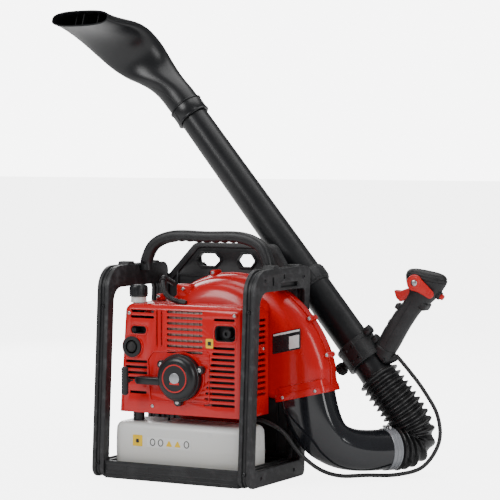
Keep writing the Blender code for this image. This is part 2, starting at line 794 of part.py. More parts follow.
def primer_bulb(mat):
    """The soft priming bulb."""
    profile = [(0, 0.0160), (0.0060, 0.0148), (0.0104, 0.0112), (0.0120, 0.0060),
               (0.0120, 0), (0, 0)]
    return turned("primer_bulb", profile, PRIMER + Vector((0, 0.0050, 0)), (0, -1, 0), mat, 20)


# ---------------------------------------------------------------- recoil starter
STARTER_RADIUS = 0.0460
STARTER_FRONT = -0.1130
STARTER_BACK = -COVER_FRONT - GAP
EYELET = Vector((-0.0860, -0.1010, 0.2030))
PULL = Vector((-0.35, -0.94, 0.0)).normalized()


def starter_housing(mat):
    """The round starter housing with its screw lugs and rope arm."""
    depth = STARTER_BACK - STARTER_FRONT
    wall = 0.0025
    profile = [(0, depth), (0.0340, depth), (0.0430, depth - 0.004), (STARTER_RADIUS, depth - 0.012),
               (STARTER_RADIUS, 0), (STARTER_RADIUS - wall, 0),
               (STARTER_RADIUS - wall, depth - 0.012), (0.0400, depth - 0.006),
               (0.0330, depth - wall), (0, depth - wall)]
    shell = turned("starter_housing", profile, crank(STARTER_BACK), (0, -1, 0), mat, 28,
                   Vector((1, 0, 0)))
    for index, turn in enumerate((20, 150, 265)):
        reach = STARTER_RADIUS + 0.004
        angle = math.radians(turn)
        lug = crank(0) + Vector((math.cos(angle) * reach, 0, math.sin(angle) * reach))
        ear = rod("starter_lug_%d" % index, 0.0085, (lug.x, STARTER_BACK, lug.z),
                  (lug.x, STARTER_BACK - 0.012, lug.z))
        boolean(shell, baked(ear), "UNION")
    arm = box("starter_arm", (EYELET.x, -0.1060, EYELET.z - 0.0080),
              (CRANK_X - STARTER_RADIUS + 0.0015, STARTER_BACK, EYELET.z + 0.0080))
    return boolean(shell, arm, "UNION")


def starter_pulley(mat):
    """The rope pulley inside the starter housing."""
    bore = SHAFT_RADIUS + 3 * GAP
    profile = [(bore, 0.0140), (0.0300, 0.0140), (0.0300, 0.0115), (0.0250, 0.0115),
               (0.0250, 0.0025), (0.0300, 0.0025), (0.0300, 0), (bore, 0)]
    return turned("starter_pulley", profile, crank(-0.1010), (0, 1, 0), mat, 24,
                  Vector((1, 0, 0)))


def recoil_spring(mat):
    """The coiled return spring in front of the pulley, as its outer shape."""
    profile = [(0.0100, 0.0030), (0.0260, 0.0030), (0.0260, 0), (0.0100, 0)]
    return turned("recoil_spring", profile, crank(-0.1050), (0, 1, 0), mat, 20,
                  Vector((1, 0, 0)))


GRIP_BASE = EYELET + Vector((-0.0080, -0.0050, 0.0))


def starter_grip(mat):
    """The T-shaped pull grip at the end of the starter rope."""
    centre = GRIP_BASE + PULL * 0.0180
    bar = rod("starter_grip", 0.0075, centre + Vector((0, 0, -0.0290)),
              centre + Vector((0, 0, 0.0290)), mat, 12, 0.002)
    stem = rod("starter_grip_stem", 0.0055, GRIP_BASE + PULL * 0.0060, centre)
    return boolean(bar, baked(stem), "UNION")


def starter_rope(mat):
    """The short length of rope between the arm's eyelet and the grip."""
    return rod("starter_rope", 0.0018, GRIP_BASE + PULL * -0.0005, GRIP_BASE + PULL * 0.0057,
               mat, 8)


# ---------------------------------------------------------------- fan housing
def rim_point(offset, out):
    """A point near the outlet's rim: across the outlet, and out of it."""
    along = Vector((math.cos(OUTLET_TILT), math.sin(OUTLET_TILT)))
    outward = Vector((math.sin(OUTLET_TILT), -math.cos(OUTLET_TILT)))
    return Vector(OUTLET_CENTRE) + along * offset + outward * out


def scroll_outline(inset, out):
    """The fan housing's side view, from its tongue round to its outlet."""
    points = []
    steps = 36
    for i in range(steps + 1):
        share = i / steps
        angle = SCROLL_TONGUE - SCROLL_TURN * share
        radius = SCROLL_START + (SCROLL_END - SCROLL_START) * share ** SCROLL_POWER - inset
        points.append((CRANK_X + radius * math.cos(angle), CRANK_Z + radius * math.sin(angle)))
    points.append(tuple(rim_point(OUTLET_WIDTH / 2 - inset, out)))
    points.append(tuple(rim_point(inset - OUTLET_WIDTH / 2, out)))
    return points


def housing_half(name, low_y, high_y, hole, mat):
    """One half of the fan housing: a plate with a wall round its edge."""
    half = plate(name, [scroll_outline(0, 0)], -high_y, -low_y, mat, FACING)
    if low_y < HOUSING_SPLIT - 0.001:
        cut_low, cut_high = low_y + HOUSING_WALL, high_y + 0.01
    else:
        cut_low, cut_high = low_y - 0.01, high_y - HOUSING_WALL
    hollow = plate(name + "_hollow", [scroll_outline(HOUSING_WALL, 0.02)], -cut_high, -cut_low,
                   None, FACING)
    boolean(half, hollow)
    eye = rod(name + "_eye", hole, crank(low_y - 0.01), crank(high_y + 0.01), None, 24)
    return boolean(half, baked(eye))


def fan_impeller(mat):
    """The centrifugal fan: a disc and hub with radial blades."""
    base = 0.0360
    disc = sleeve("fan_impeller", FAN_RADIUS, SHAFT_RADIUS + GAP, crank(base + 0.0030),
                  crank(base), mat, 36)
    bm = bmesh.new()
    for i in range(FAN_BLADES):
        mesh = box_mesh("blade", (0.0260, 0.0020, -0.0010), (FAN_RADIUS - 0.003, 0.0470, 0.0010))
        mesh.transform(Matrix.Translation(crank(base)) @ Matrix.Rotation(
            2 * math.pi * i / FAN_BLADES, 4, "Y"))
        bm.from_mesh(mesh)
        bpy.data.meshes.remove(mesh)
    blades = add_mesh("fan_blades", bm_to_mesh("fan_blades", bm))
    hub = baked(sleeve("fan_hub", 0.0280, SHAFT_RADIUS + GAP, crank(base + 0.0460),
                       crank(base + 0.0010)))
    boolean(disc, blades, "UNION")
    return boolean(disc, hub, "UNION")


# ---------------------------------------------------------------- air duct
def elbow_duct(mat):
    """The glossy elbow from the housing's outlet to the hose."""
    rim = rim_point(0, GAP)
    start = Vector((rim.x, (HOUSING_FRONT + HOUSING_BACK) / 2, rim.y))
    down = Vector((math.sin(OUTLET_TILT), 0, -math.cos(OUTLET_TILT)))
    end = ELBOW_END
    first, last = start + down * END_RUN, end - HOSE_HEADING * END_RUN
    path = [start] + [bezier(first, first + down * 0.100, last - HOSE_HEADING * 0.105, last,
                             i / 8) for i in range(9)] + [end]
    frames = path_frames(path, Vector((math.cos(OUTLET_TILT), 0, math.sin(OUTLET_TILT))))
    half_width = OUTLET_WIDTH / 2 - 0.0010
    half_height = (HOUSING_BACK - HOUSING_FRONT) / 2 - 0.0005
    outer, inner = [], []
    for i, frame in enumerate(frames):
        share = i / (len(frames) - 1)
        ease = share * share * (3 - 2 * share)
        width = half_width + (ELBOW_RADIUS - half_width) * ease
        height = half_height + (ELBOW_RADIUS - half_height) * ease
        power = 3.4 + (2.0 - 3.4) * min(1.0, share * 2)
        outer.append(section(frame, width, height, power, 20))
        inner.append(section(frame, width - DUCT_WALL, height - DUCT_WALL, power, 20))
    return smooth(loft("elbow_duct", outer, mat, inner))


HOSE_START = ELBOW_END + HOSE_HEADING * 0.0240
CLAMP_LENGTH = 0.0230


def hose_clamp(mat):
    """The clamp ring that holds the hose on the elbow and lets it swivel."""
    outer = ELBOW_RADIUS + 0.0020
    return sleeve("hose_clamp", outer, ELBOW_RADIUS - DUCT_WALL, ELBOW_END + HOSE_HEADING * GAP,
                  ELBOW_END + HOSE_HEADING * CLAMP_LENGTH, mat, 24)


def hose_path(count):
    """The hose's centre line."""
    first, last = HOSE_START + HOSE_HEADING * END_RUN, TUBE_FOOT - TUBE_AXIS * END_RUN
    middle = [bezier(first, first + HOSE_HEADING * HOSE_PULL, last - TUBE_AXIS * HOSE_PULL, last,
                     i / (count - 3)) for i in range(count - 2)]
    return [HOSE_START] + middle + [TUBE_FOOT]


def bellows_hose(mat):
    """The ribbed hose, a hollow bellows."""
    steps = HOSE_RIBS * 2 + 1
    frames = path_frames(hose_path(steps), Vector((0, 0, 1)))
    outer = []
    for i, frame in enumerate(frames):
        radius = HOSE_RADIUS if i % 2 else HOSE_RADIUS - 0.0070
        outer.append(section(frame, radius, radius, 2.0, 20))
    inner_frames = frames[::5] if (steps - 1) % 5 == 0 else frames
    inner = [section(f, HOSE_INNER - 0.001, HOSE_INNER - 0.001, 2.0, 20) for f in inner_frames]
    return smooth(loft("bellows_hose", outer, mat, inner))


def on_tube(along, side=0.0, across=0.0):
    """A point in the tube's own frame."""
    return TUBE_FOOT + TUBE_AXIS * along + TUBE_SIDE * side + Vector((0, across, 0))


RING_FOOT = LOWER_TUBE_LENGTH - RING_LENGTH / 2
TUBE_TOP = LOWER_TUBE_LENGTH + UPPER_TUBE_LENGTH


def lower_tube(mat):
    """The lower blower tube, which carries the grip."""
    return sleeve("lower_tube", LOWER_TUBE_RADIUS, LOWER_TUBE_RADIUS - TUBE_WALL,
                  on_tube(GAP * 2), on_tube(LOWER_TUBE_LENGTH), mat)


def coupling_ring(mat):
    """The coupling sleeve between the two tubes."""
    inner = LOWER_TUBE_RADIUS + GAP
    profile = [(inner, RING_LENGTH), (inner + RING_END_WALL, RING_LENGTH), (inner + RING_WALL, RING_LENGTH - 0.006),
               (inner + RING_WALL, 0.004), (inner + RING_END_WALL, 0), (inner, 0)]
    return turned("coupling_ring", profile, on_tube(RING_FOOT), TUBE_AXIS, mat)


def upper_tube(mat):
    """The upper blower tube, slightly tapered."""
    length = UPPER_TUBE_LENGTH - GAP
    foot, top = LOWER_TUBE_RADIUS, UPPER_TUBE_RADIUS - 0.0015
    profile = [(top - TUBE_WALL, length), (top, length), (foot, 0), (foot - TUBE_WALL, 0)]
    return turned("upper_tube", profile, on_tube(LOWER_TUBE_LENGTH + GAP), TUBE_AXIS, mat)


MOUTH = Vector((FRAME_SIDE - 0.5183, 0.070, 0.950))
MOUTH_HEADING = Vector((-0.187, -0.944, 0.270)).normalized()
MOUTH_WIDTH_AXIS = Vector((1.0, -0.089, -0.035))
MOUTH_HALF_WIDTH = 0.0837
MOUTH_HALF_HEIGHT = 0.0168
NOZZLE_PULLS = (0.060, 0.180)   # how strongly its foot and its mouth run straight on
NOZZLE_ROUND = 0.10            # share of its length that stays round


def blower_nozzle(mat):
    """The curved nozzle that flattens towards its mouth."""
    path = [on_tube(TUBE_TOP + GAP), on_tube(TUBE_TOP + COLLAR_LENGTH),
            on_tube(TUBE_TOP + COLLAR_LENGTH + 0.0002)]
    start = path[-1]
    count = 12
    path += [bezier(start, start + TUBE_AXIS * NOZZLE_PULLS[0],
                    MOUTH - MOUTH_HEADING * NOZZLE_PULLS[1], MOUTH,
                    i / count) for i in range(1, count + 1)]
    frames = path_frames(path, Vector((0, 1, 0)))
    collar, neck = UPPER_TUBE_RADIUS + 0.0035, UPPER_TUBE_RADIUS - 0.0015
    outer, inner = [], []
    last_side = frames[-1][1]
    goal = MOUTH_WIDTH_AXIS.normalized()
    ahead = MOUTH_HEADING
    goal = (goal - ahead * goal.dot(ahead)).normalized()
    twist = last_side.angle(goal)
    if last_side.cross(goal).dot(ahead) < 0:
        twist = -twist
    for i, (point, side, up) in enumerate(frames):
        share = max(0.0, (i - 2) / count)
        ease = share * share * (3 - 2 * share)
        late = max(0.0, (share - NOZZLE_ROUND) / (1 - NOZZLE_ROUND))
        late = late * late * (3 - 2 * late)
        axis = side.cross(up).normalized()
        turn = Matrix.Rotation(twist * ease, 3, axis)
        frame = (point, turn @ side, turn @ up)
        radius = collar if i < 2 else neck
        width = radius + (MOUTH_HALF_WIDTH - radius) * late ** 1.27
        height = radius + (MOUTH_HALF_HEIGHT - radius) * late ** 0.7
        power = 2.0 + 0.8 * ease
        outer.append(section(frame, width, height, power, 20))
        wall = TUBE_WALL + (collar - neck if i < 2 else 0)
        inner.append(section(frame, width - wall, height - wall, power, 20))
    return smooth(loft("blower_nozzle", outer, mat, inner))


# ---------------------------------------------------------------- control grip
BRACKET_SEAT = LOWER_TUBE_RADIUS + GAP


def handle_bracket(mat):
    """The clamp round the lower tube that carries the grip."""
    low, high = BRACKET_AT - BRACKET_LENGTH / 2, BRACKET_AT + BRACKET_LENGTH / 2
    ring = sleeve("handle_bracket", BRACKET_RADIUS, BRACKET_SEAT, on_tube(low), on_tube(high), mat)
    foot = rod("bracket_foot", 0.0210, GRIP_FOOT - GRIP_AXIS * 0.0380,
               GRIP_FOOT - GRIP_AXIS * GAP)
    lug = rod("bracket_lug", 0.0105, on_tube(BRACKET_AT + 0.0230, BRACKET_SEAT + 0.002, -0.012),
              on_tube(BRACKET_AT + 0.0230, BRACKET_LUG, -0.012))
    ear = rod("bracket_ear", 0.0110, on_tube(BRACKET_AT, -BRACKET_SEAT - 0.002),
              on_tube(BRACKET_AT, -BRACKET_EAR))
    for extra in (foot, lug, ear):
        boolean(ring, baked(extra), "UNION")
    seat = rod("bracket_seat", BRACKET_SEAT, on_tube(low - 0.05), on_tube(high + 0.05), None, 24)
    return boolean(ring, baked(seat))


def bracket_knob(mat):
    """The ribbed knob that tightens the clamp."""
    profile = [(0, 0.0200), (0.0110, 0.0200), (0.0135, 0.0170), (0.0135, 0.0030),
               (0.0110, 0), (0, 0)]
    return turned("bracket_knob", profile, on_tube(BRACKET_AT, -BRACKET_EAR - GAP), -TUBE_SIDE, mat, 20)


def on_grip(along, side=0.0, across=0.0):
    """A point in the grip's own frame; side is away from the tube."""
    out = Vector((GRIP_AXIS.z, 0, -GRIP_AXIS.x))
    return GRIP_FOOT + GRIP_AXIS * along + out * side + Vector((0, across, 0))


TRIGGER_PIVOT = on_grip(0.1350, -0.0120)
TRIGGER_HALF = 0.0055          # half its thickness
HEAD_STATIONS = (             # along the grip, to its side, half width, half depth, tilt
    (0.0, 0.0, 0.0225, 0.0180, 0), (0.020, 0.0, 0.0235, 0.0170, 0),
    (0.060, 0.0005, 0.0230, 0.0165, 0), (0.100, 0.0025, 0.0240, 0.0170, 0),
    (0.118, 0.0055, 0.0275, 0.0185, 4), (0.135, 0.0065, 0.0340, 0.0198, 10),
    (0.152, 0.0060, 0.0410, 0.0205, 16), (0.168, 0.0045, 0.0455, 0.0208, 21))


def head_ring(station, lift=0.0, share=1.0):
    """One ring of the grip, its plane turned by the station's tilt."""
    along, shift, width, depth, tilt = station
    side = on_grip(0, 1) - on_grip(0)
    tilt = math.radians(tilt)
    out = side * math.cos(tilt) + GRIP_AXIS * math.sin(tilt)
    up = GRIP_AXIS * math.cos(tilt) - side * math.sin(tilt)
    place = (on_grip(along, shift) + up * lift, out, Vector((0, 1, 0)))
    return section(place, width * share, depth * share, 2.4, 20)


def control_grip(mat):
    """The upright grip and its flared, tilted head."""
    side = on_grip(0, 1) - on_grip(0)
    grip = loft("control_grip", [head_ring(station) for station in HEAD_STATIONS], mat)
    pocket = box("grip_trigger_pocket", (-0.060, -TRIGGER_HALF - 2 * GAP, -0.050),
                 (0.012, TRIGGER_HALF + 2 * GAP, 0.005))
    pocket.matrix_world = Matrix.Translation(TRIGGER_PIVOT) @ Matrix(
        (side, Vector((0, 1, 0)), GRIP_AXIS)).transposed().to_4x4()
    return boolean(grip, baked(pocket))


def grip_cap(mat):
    """The soft domed cap on the grip's head."""
    steps = ((GAP, 1.0), (0.007, 1.0), (0.013, 0.92), (0.0175, 0.74), (0.0195, 0.45))
    rings = [head_ring(HEAD_STATIONS[-1], lift, share) for lift, share in steps]
    return smooth(loft("grip_cap", rings, mat), 50)




def throttle_trigger(mat):
    """The throttle trigger under the head."""
    outline = [(0.0020, 0.0030), (-0.0100, -0.0040), (-0.0190, -0.0140), (-0.0305, -0.0205),
               (-0.0315, -0.0245), (-0.0210, -0.0340), (-0.0095, -0.0365), (0.0, -0.0265),
               (0.0050, -0.0100)]
    side = on_grip(0, 1) - on_grip(0)
    place = Matrix.Translation(TRIGGER_PIVOT) @ Matrix(
        (side, GRIP_AXIS, side.cross(GRIP_AXIS))).transposed().to_4x4()
    return plate("throttle_trigger", [outline], -TRIGGER_HALF, TRIGGER_HALF, mat, place)


LEVER_PIVOT = on_grip(0.1554, -0.0062)


def throttle_lock_lever(mat):
    """The cruise lever on the near side of the head."""
    side = on_grip(0, 1) - on_grip(0)
    tip = Vector((0.0434, -0.0029))
    outline = []
    for k in range(9):
        turn = math.radians(90 + 180 * k / 8) + math.atan2(tip.y, tip.x)
        outline.append((math.cos(turn) * 0.0165, math.sin(turn) * 0.0165))
    for k in range(7):
        turn = math.radians(-90 + 180 * k / 6) + math.atan2(tip.y, tip.x)
        outline.append((tip.x + math.cos(turn) * 0.0080, tip.y + math.sin(turn) * 0.0080))
    place = Matrix.Translation(LEVER_PIVOT + Vector((0, -0.0212, 0))) @ Matrix(
        (side, GRIP_AXIS, side.cross(GRIP_AXIS))).transposed().to_4x4()
    return plate("throttle_lock_lever", [outline], 0.0, 0.0050, mat, place)


def lever_screw(mat):
    """The screw that the cruise lever turns on."""
    near = LEVER_PIVOT + Vector((0, -0.0212 - 0.0050 - GAP, 0))
    return rod("lever_screw", 0.0052, near, near + Vector((0, -0.0022, 0)), mat, 16, 0.0006)


STOP_SPOT = on_grip(0.1560, 0.0484)


def stop_button(mat):
    """The engine stop button on the far side of the head."""
    side = (on_grip(0, 1) - on_grip(0)).normalized()
    return rod("stop_button", 0.0060, STOP_SPOT, STOP_SPOT + side * 0.0080, mat, 16, 0.001)


CONDUIT_ROUTE = ((0.1200, 0.0080, 0.1230), (0.1520, 0.0085, 0.1210), (0.1950, 0.0060, 0.1020),
                 (0.2300, 0.0060, 0.0640), (0.2560, 0.0420, 0.0280), (0.2800, 0.0900, 0.0090),
                 (0.3180, 0.1380, 0.0064), (0.3700, 0.1720, 0.0070), (0.4120, 0.2080, 0.0220),
                 (0.4350, 0.2350, 0.0700), (0.4290, 0.2400, 0.1250), (0.4000, 0.2320, 0.1780),
                 (0.3700, 0.2240, 0.2180), (0.3445, 0.2205, 0.2465))
CONDUIT_RADIUS = 0.0045


def throttle_conduit(mat):
    """The throttle cable's conduit, from the engine round the hose to the grip."""
    return tube("throttle_conduit", through(CONDUIT_ROUTE, 3), CONDUIT_RADIUS, mat)


# ---------------------------------------------------------------- assembly
def build():
    """Make every piece in place."""
    clear_scene()
    black = material("black_moulding", BLACK, 0.45)
    gloss = material("gloss_black", GLOSS_BLACK, 0.15)
    rubber = material("black_rubber", BLACK, 0.75)
    webbing = material("black_webbing", BLACK, 0.9)
    red = material("red_shell", RED, 0.25)
    white = material("tank_white", WHITE, 0.4)
    steel = material("bright_steel", STEEL, 0.25, 1.0)
    alloy = material("cast_alloy", ALUMINIUM, 0.5, 1.0)
    grey = material("grey_filter", GREY, 0.8)

    side_loop("frame_left_loop", -1, black)
    side_loop("frame_right_loop", 1, black)
    base_tray(black)
    back_panel(black)
    carry_handle(black)
    back_pad(webbing)
    for name, side in (("left", -1), ("right", 1)):
        shoulder_strap("shoulder_strap_" + name, side * STRAP_X, webbing)
        strap_buckle("strap_buckle_" + name, side * STRAP_X, black)
    for i, (x, z) in enumerate(((-0.090, 0.150), (0.080, 0.150), (-0.075, 0.330),
                                (0.110, 0.330))):
        rubber_mount("rubber_mount_%d" % (i + 1), x, z, rubber)

    fuel_tank(white)
    filler_neck(red)
    fuel_cap(black)
    filler_hose(rubber)
    fuel_line(rubber)

    crankcase(alloy)
    cylinder(alloy)
    piston(alloy)
    con_rod(steel)
    crankshaft(steel)
    flywheel(alloy)
    ignition_coil(black)
    muffler(steel)
    carburettor(alloy)
    air_filter(grey)
    spark_plug(steel)

    engine_cover(red)
    choke_lever(black)
    primer_base(black)
    primer_bulb(rubber)

    starter_housing(black)
    starter_pulley(black)
    recoil_spring(steel)
    starter_grip(black)
    starter_rope(webbing)

    housing_half("fan_housing_front", HOUSING_FRONT, HOUSING_SPLIT, 0.0320, red)
    housing_half("fan_housing_rear", HOUSING_SPLIT + GAP, HOUSING_BACK, INTAKE_RADIUS, red)
    fan_impeller(black)

    elbow_duct(gloss)
    hose_clamp(steel)
    bellows_hose(rubber)
    lower_tube(black)
    coupling_ring(black)
    upper_tube(black)
    blower_nozzle(black)

    handle_bracket(black)
    bracket_knob(black)
    control_grip(black)
    grip_cap(rubber)
    throttle_trigger(red)
    throttle_lock_lever(red)
    lever_screw(steel)
    stop_button(red)
    throttle_conduit(rubber)


build()
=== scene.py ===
import json
import math

import bmesh
import bpy
from bpy.props import FloatProperty, FloatVectorProperty, IntProperty, PointerProperty
from mathutils import Matrix, Vector, noise

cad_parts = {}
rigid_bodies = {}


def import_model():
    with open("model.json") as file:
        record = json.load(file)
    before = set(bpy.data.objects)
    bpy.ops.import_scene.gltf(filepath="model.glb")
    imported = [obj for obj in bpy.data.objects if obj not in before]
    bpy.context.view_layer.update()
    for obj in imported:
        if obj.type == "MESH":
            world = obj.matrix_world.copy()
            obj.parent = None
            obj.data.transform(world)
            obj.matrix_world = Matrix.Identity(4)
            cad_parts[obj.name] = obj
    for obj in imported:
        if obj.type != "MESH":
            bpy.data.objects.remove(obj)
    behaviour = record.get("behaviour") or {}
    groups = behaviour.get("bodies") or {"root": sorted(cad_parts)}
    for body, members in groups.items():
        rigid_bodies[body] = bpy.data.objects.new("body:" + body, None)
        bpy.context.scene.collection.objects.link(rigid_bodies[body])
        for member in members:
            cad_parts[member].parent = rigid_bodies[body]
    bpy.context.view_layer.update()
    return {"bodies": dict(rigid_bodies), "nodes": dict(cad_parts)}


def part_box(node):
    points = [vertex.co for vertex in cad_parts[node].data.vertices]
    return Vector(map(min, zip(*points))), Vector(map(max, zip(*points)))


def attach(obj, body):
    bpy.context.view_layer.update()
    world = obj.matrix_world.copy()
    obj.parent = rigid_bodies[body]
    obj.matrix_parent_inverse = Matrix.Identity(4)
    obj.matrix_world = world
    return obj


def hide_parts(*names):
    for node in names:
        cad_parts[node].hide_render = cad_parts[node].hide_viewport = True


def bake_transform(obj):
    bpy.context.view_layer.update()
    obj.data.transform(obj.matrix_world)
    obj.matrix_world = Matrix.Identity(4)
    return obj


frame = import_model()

bl_info = {
    "name": "Backpack Blower Looks",
    "version": (1, 0, 0),
    "blender": (4, 5, 0),
    "location": "3D View > Sidebar > Blower",
    "description": "Builds the visible pieces of a backpack leaf blower round its packed frame",
    "category": "Object",
}

NODES = frame["nodes"]


# ---------------------------------------------------------------- sizes and colours
def length(name, default, description):
    """A size in metres that a user may change."""
    return FloatProperty(name=name, default=default, description=description,
                         unit="LENGTH", precision=4)


def colour(name, default, description):
    """A linear colour that a user may change."""
    return FloatVectorProperty(name=name, default=default, description=description,
                               subtype="COLOR", size=3, min=0.0, max=1.0)


class BlowerColours(bpy.types.PropertyGroup):
    """Base colours of the finishes."""
    shell_red: colour("Shell Red", (0.6, 0.0012, 0.002), "Moulded engine cover and fan housing")
    control_red: colour("Control Red", (0.62, 0.003, 0.003), "Trigger, lever and stop button")
    frame_black: colour("Frame Black", (0.01, 0.0105, 0.012), "Carrying frame")
    tube_black: colour("Tube Black", (0.0085, 0.009, 0.0105), "Blower tubes and nozzle")
    duct_black: colour("Duct Black", (0.01, 0.011, 0.014), "Glossy elbow")
    rubber_black: colour("Rubber Black", (0.011, 0.011, 0.012), "Hose, bulb and cap")
    tank_white: colour("Tank White", (0.76, 0.76, 0.74), "Fuel tank")
    webbing_black: colour("Webbing Black", (0.016, 0.016, 0.018), "Straps and pad")
    sticker_yellow: colour("Sticker Yellow", (0.92, 0.58, 0.004), "Blank yellow stickers")


class BlowerSizes(bpy.types.PropertyGroup):
    """Sizes of the visible details."""
    flange_width: length("Flange Width", 0.0085, "Raised band along each edge of a frame loop")
    web_depth: length("Web Depth", 0.0035, "How far the web between the bands is sunk")
    edge_round: length("Edge Round", 0.0014, "Rounding of moulded edges")
    slot_height: length("Slot Height", 0.0055, "Height of a cooling slot in the cover")
    slot_edge: length("Slot Edge", 0.0007, "Rounding of a cooling slot's edge")
    cover_corner: length("Cover Corner", 0.016, "Rounding of the engine cover's corners")
    fin_depth: length("Fin Depth", 0.0085, "How far a hose fin stands above its groove")
    fin_count: IntProperty(name="Fin Count", default=16, min=4, max=60,
                           description="Fins along the ribbed hose")
    pad_swell: length("Pad Swell", 0.01, "How far the cushion may swell")


class BlowerStage(bpy.types.PropertyGroup):
    """Light and floor."""
    key_power: FloatProperty(name="Key Power", default=62.0, min=0.0, unit="POWER",
                             description="Large soft light at the upper left")
    fill_power: FloatProperty(name="Fill Power", default=34.0, min=0.0, unit="POWER",
                              description="Soft light at the right")
    floor_white: colour("Floor White", (0.86, 0.86, 0.86), "Plain pale floor")


# ---------------------------------------------------------------- node helpers
class Net:
    """Adds nodes to one tree and wires them."""

    def __init__(self, tree):
        self.tree = tree

    def put(self, socket, value):
        """Wire a socket to another, or give it a value."""
        if isinstance(value, bpy.types.NodeSocket):
            self.tree.links.new(value, socket)
        else:
            socket.default_value = value

    def add(self, kind, inputs=None, **settings):
        """A node with its settings and inputs filled in."""
        made = self.tree.nodes.new(kind)
        for key, value in settings.items():
            setattr(made, key, value)
        for key, value in (inputs or {}).items():
            self.put(made.inputs[key], value)
        return made

    def maths(self, operation, a, b=0.0, clamp=False):
        """The result of one sum; works in shader and geometry trees."""
        made = self.add("ShaderNodeMath", {0: a, 1: b}, operation=operation)
        made.use_clamp = clamp
        return made.outputs[0]

    def blend(self, share, a, b):
        """Two colours mixed by a share."""
        made = self.add("ShaderNodeMix", data_type="RGBA")
        self.put(made.inputs["Factor"], share)
        for socket, value in ((made.inputs[6], a), (made.inputs[7], b)):
            self.put(socket, value)
        return made.outputs[2]

    def ramp(self, value, low, high, out_low=0.0, out_high=1.0):
        """A value mapped from one range to another, clamped."""
        made = self.add("ShaderNodeMapRange", {0: value, 1: low, 2: high, 3: out_low,
                                               4: out_high})
        return made.outputs[0]


def group_tree(name, kind, inputs, outputs):
    """A node group with named sockets: its net, its inputs and its output node."""
    tree = bpy.data.node_groups.new(name, kind)
    for title, socket, default in inputs:
        made = tree.interface.new_socket(name=title, in_out="INPUT", socket_type=socket)
        if default is not None:
            made.default_value = default
    for title, socket in outputs:
        tree.interface.new_socket(name=title, in_out="OUTPUT", socket_type=socket)
    net = Net(tree)
    return net, net.add("NodeGroupInput").outputs, net.add("NodeGroupOutput").inputs


FLOAT, VECTOR, COLOUR = "NodeSocketFloat", "NodeSocketVector", "NodeSocketColor"


def moulded_group():
    """Colour, roughness and height of a moulded surface with grain, mottle and rubbed spots."""
    net, given, out = group_tree(
        "Moulded Finish", "ShaderNodeTree",
        [("Vector", VECTOR, None), ("Colour", COLOUR, (0, 0, 0, 1)),
         ("Rubbed Colour", COLOUR, (0, 0, 0, 1)), ("Grain Scale", FLOAT, 900.0),
         ("Mottle Scale", FLOAT, 18.0), ("Rub Amount", FLOAT, 0.3), ("Roughness", FLOAT, 0.4),
         ("Roughness Spread", FLOAT, 0.1)],
        [("Colour", COLOUR), ("Roughness", FLOAT), ("Height", FLOAT)])
    grain = net.add("ShaderNodeTexNoise", {"Vector": given["Vector"],
                                           "Scale": given["Grain Scale"], "Detail": 3.0})
    mottle = net.add("ShaderNodeTexNoise", {"Vector": given["Vector"],
                                            "Scale": given["Mottle Scale"], "Detail": 5.0,
                                            "Roughness": 0.6})
    spots = net.ramp(mottle.outputs[0], 0.5, 0.72)
    rubbed = net.maths("MULTIPLY", spots, given["Rub Amount"])
    net.put(out["Colour"], net.blend(rubbed, given["Colour"], given["Rubbed Colour"]))
    swing = net.maths("SUBTRACT", mottle.outputs[0], 0.5)
    net.put(out["Roughness"], net.maths("ADD", given["Roughness"], net.maths(
        "MULTIPLY", swing, given["Roughness Spread"]), True))
    net.put(out["Height"], grain.outputs[0])
    return net.tree


def dust_group():
    """A thin layer of dust on faces that look up."""
    net, given, out = group_tree(
        "Settled Dust", "ShaderNodeTree",
        [("Vector", VECTOR, None), ("Colour", COLOUR, (0, 0, 0, 1)),
         ("Dust Colour", COLOUR, (0.25, 0.24, 0.22, 1)), ("Amount", FLOAT, 0.1)],
        [("Colour", COLOUR), ("Mask", FLOAT)])
    normal = net.add("ShaderNodeNewGeometry").outputs["Normal"]
    up = net.add("ShaderNodeSeparateXYZ", {0: normal}).outputs["Z"]
    cloud = net.add("ShaderNodeTexNoise", {"Vector": given["Vector"], "Scale": 45.0,
                                           "Detail": 6.0}).outputs[0]
    facing = net.ramp(up, 0.25, 1.0)
    mask = net.maths("MULTIPLY", net.maths("MULTIPLY", facing, net.ramp(cloud, 0.4, 0.75)),
                     given["Amount"])
    net.put(out["Colour"], net.blend(mask, given["Colour"], given["Dust Colour"]))
    net.put(out["Mask"], mask)
    return net.tree


def scratch_group():
    """Fine lines along Z of the given vector: brushed metal or scuffs along a tube."""
    net, given, out = group_tree(
        "Fine Lines", "ShaderNodeTree",
        [("Vector", VECTOR, None), ("Across Scale", FLOAT, 900.0), ("Along Scale", FLOAT, 12.0)],
        [("Value", FLOAT)])
    joined = net.add("ShaderNodeCombineXYZ", {0: given["Across Scale"], 1: given["Across Scale"],
                                              2: given["Along Scale"]}).outputs[0]
    stretched = net.add("ShaderNodeVectorMath", {0: given["Vector"], 1: joined},
                        operation="MULTIPLY").outputs[0]
    lines = net.add("ShaderNodeTexNoise", {"Vector": stretched, "Scale": 1.0, "Detail": 2.0})
    net.put(out["Value"], lines.outputs[0])
    return net.tree


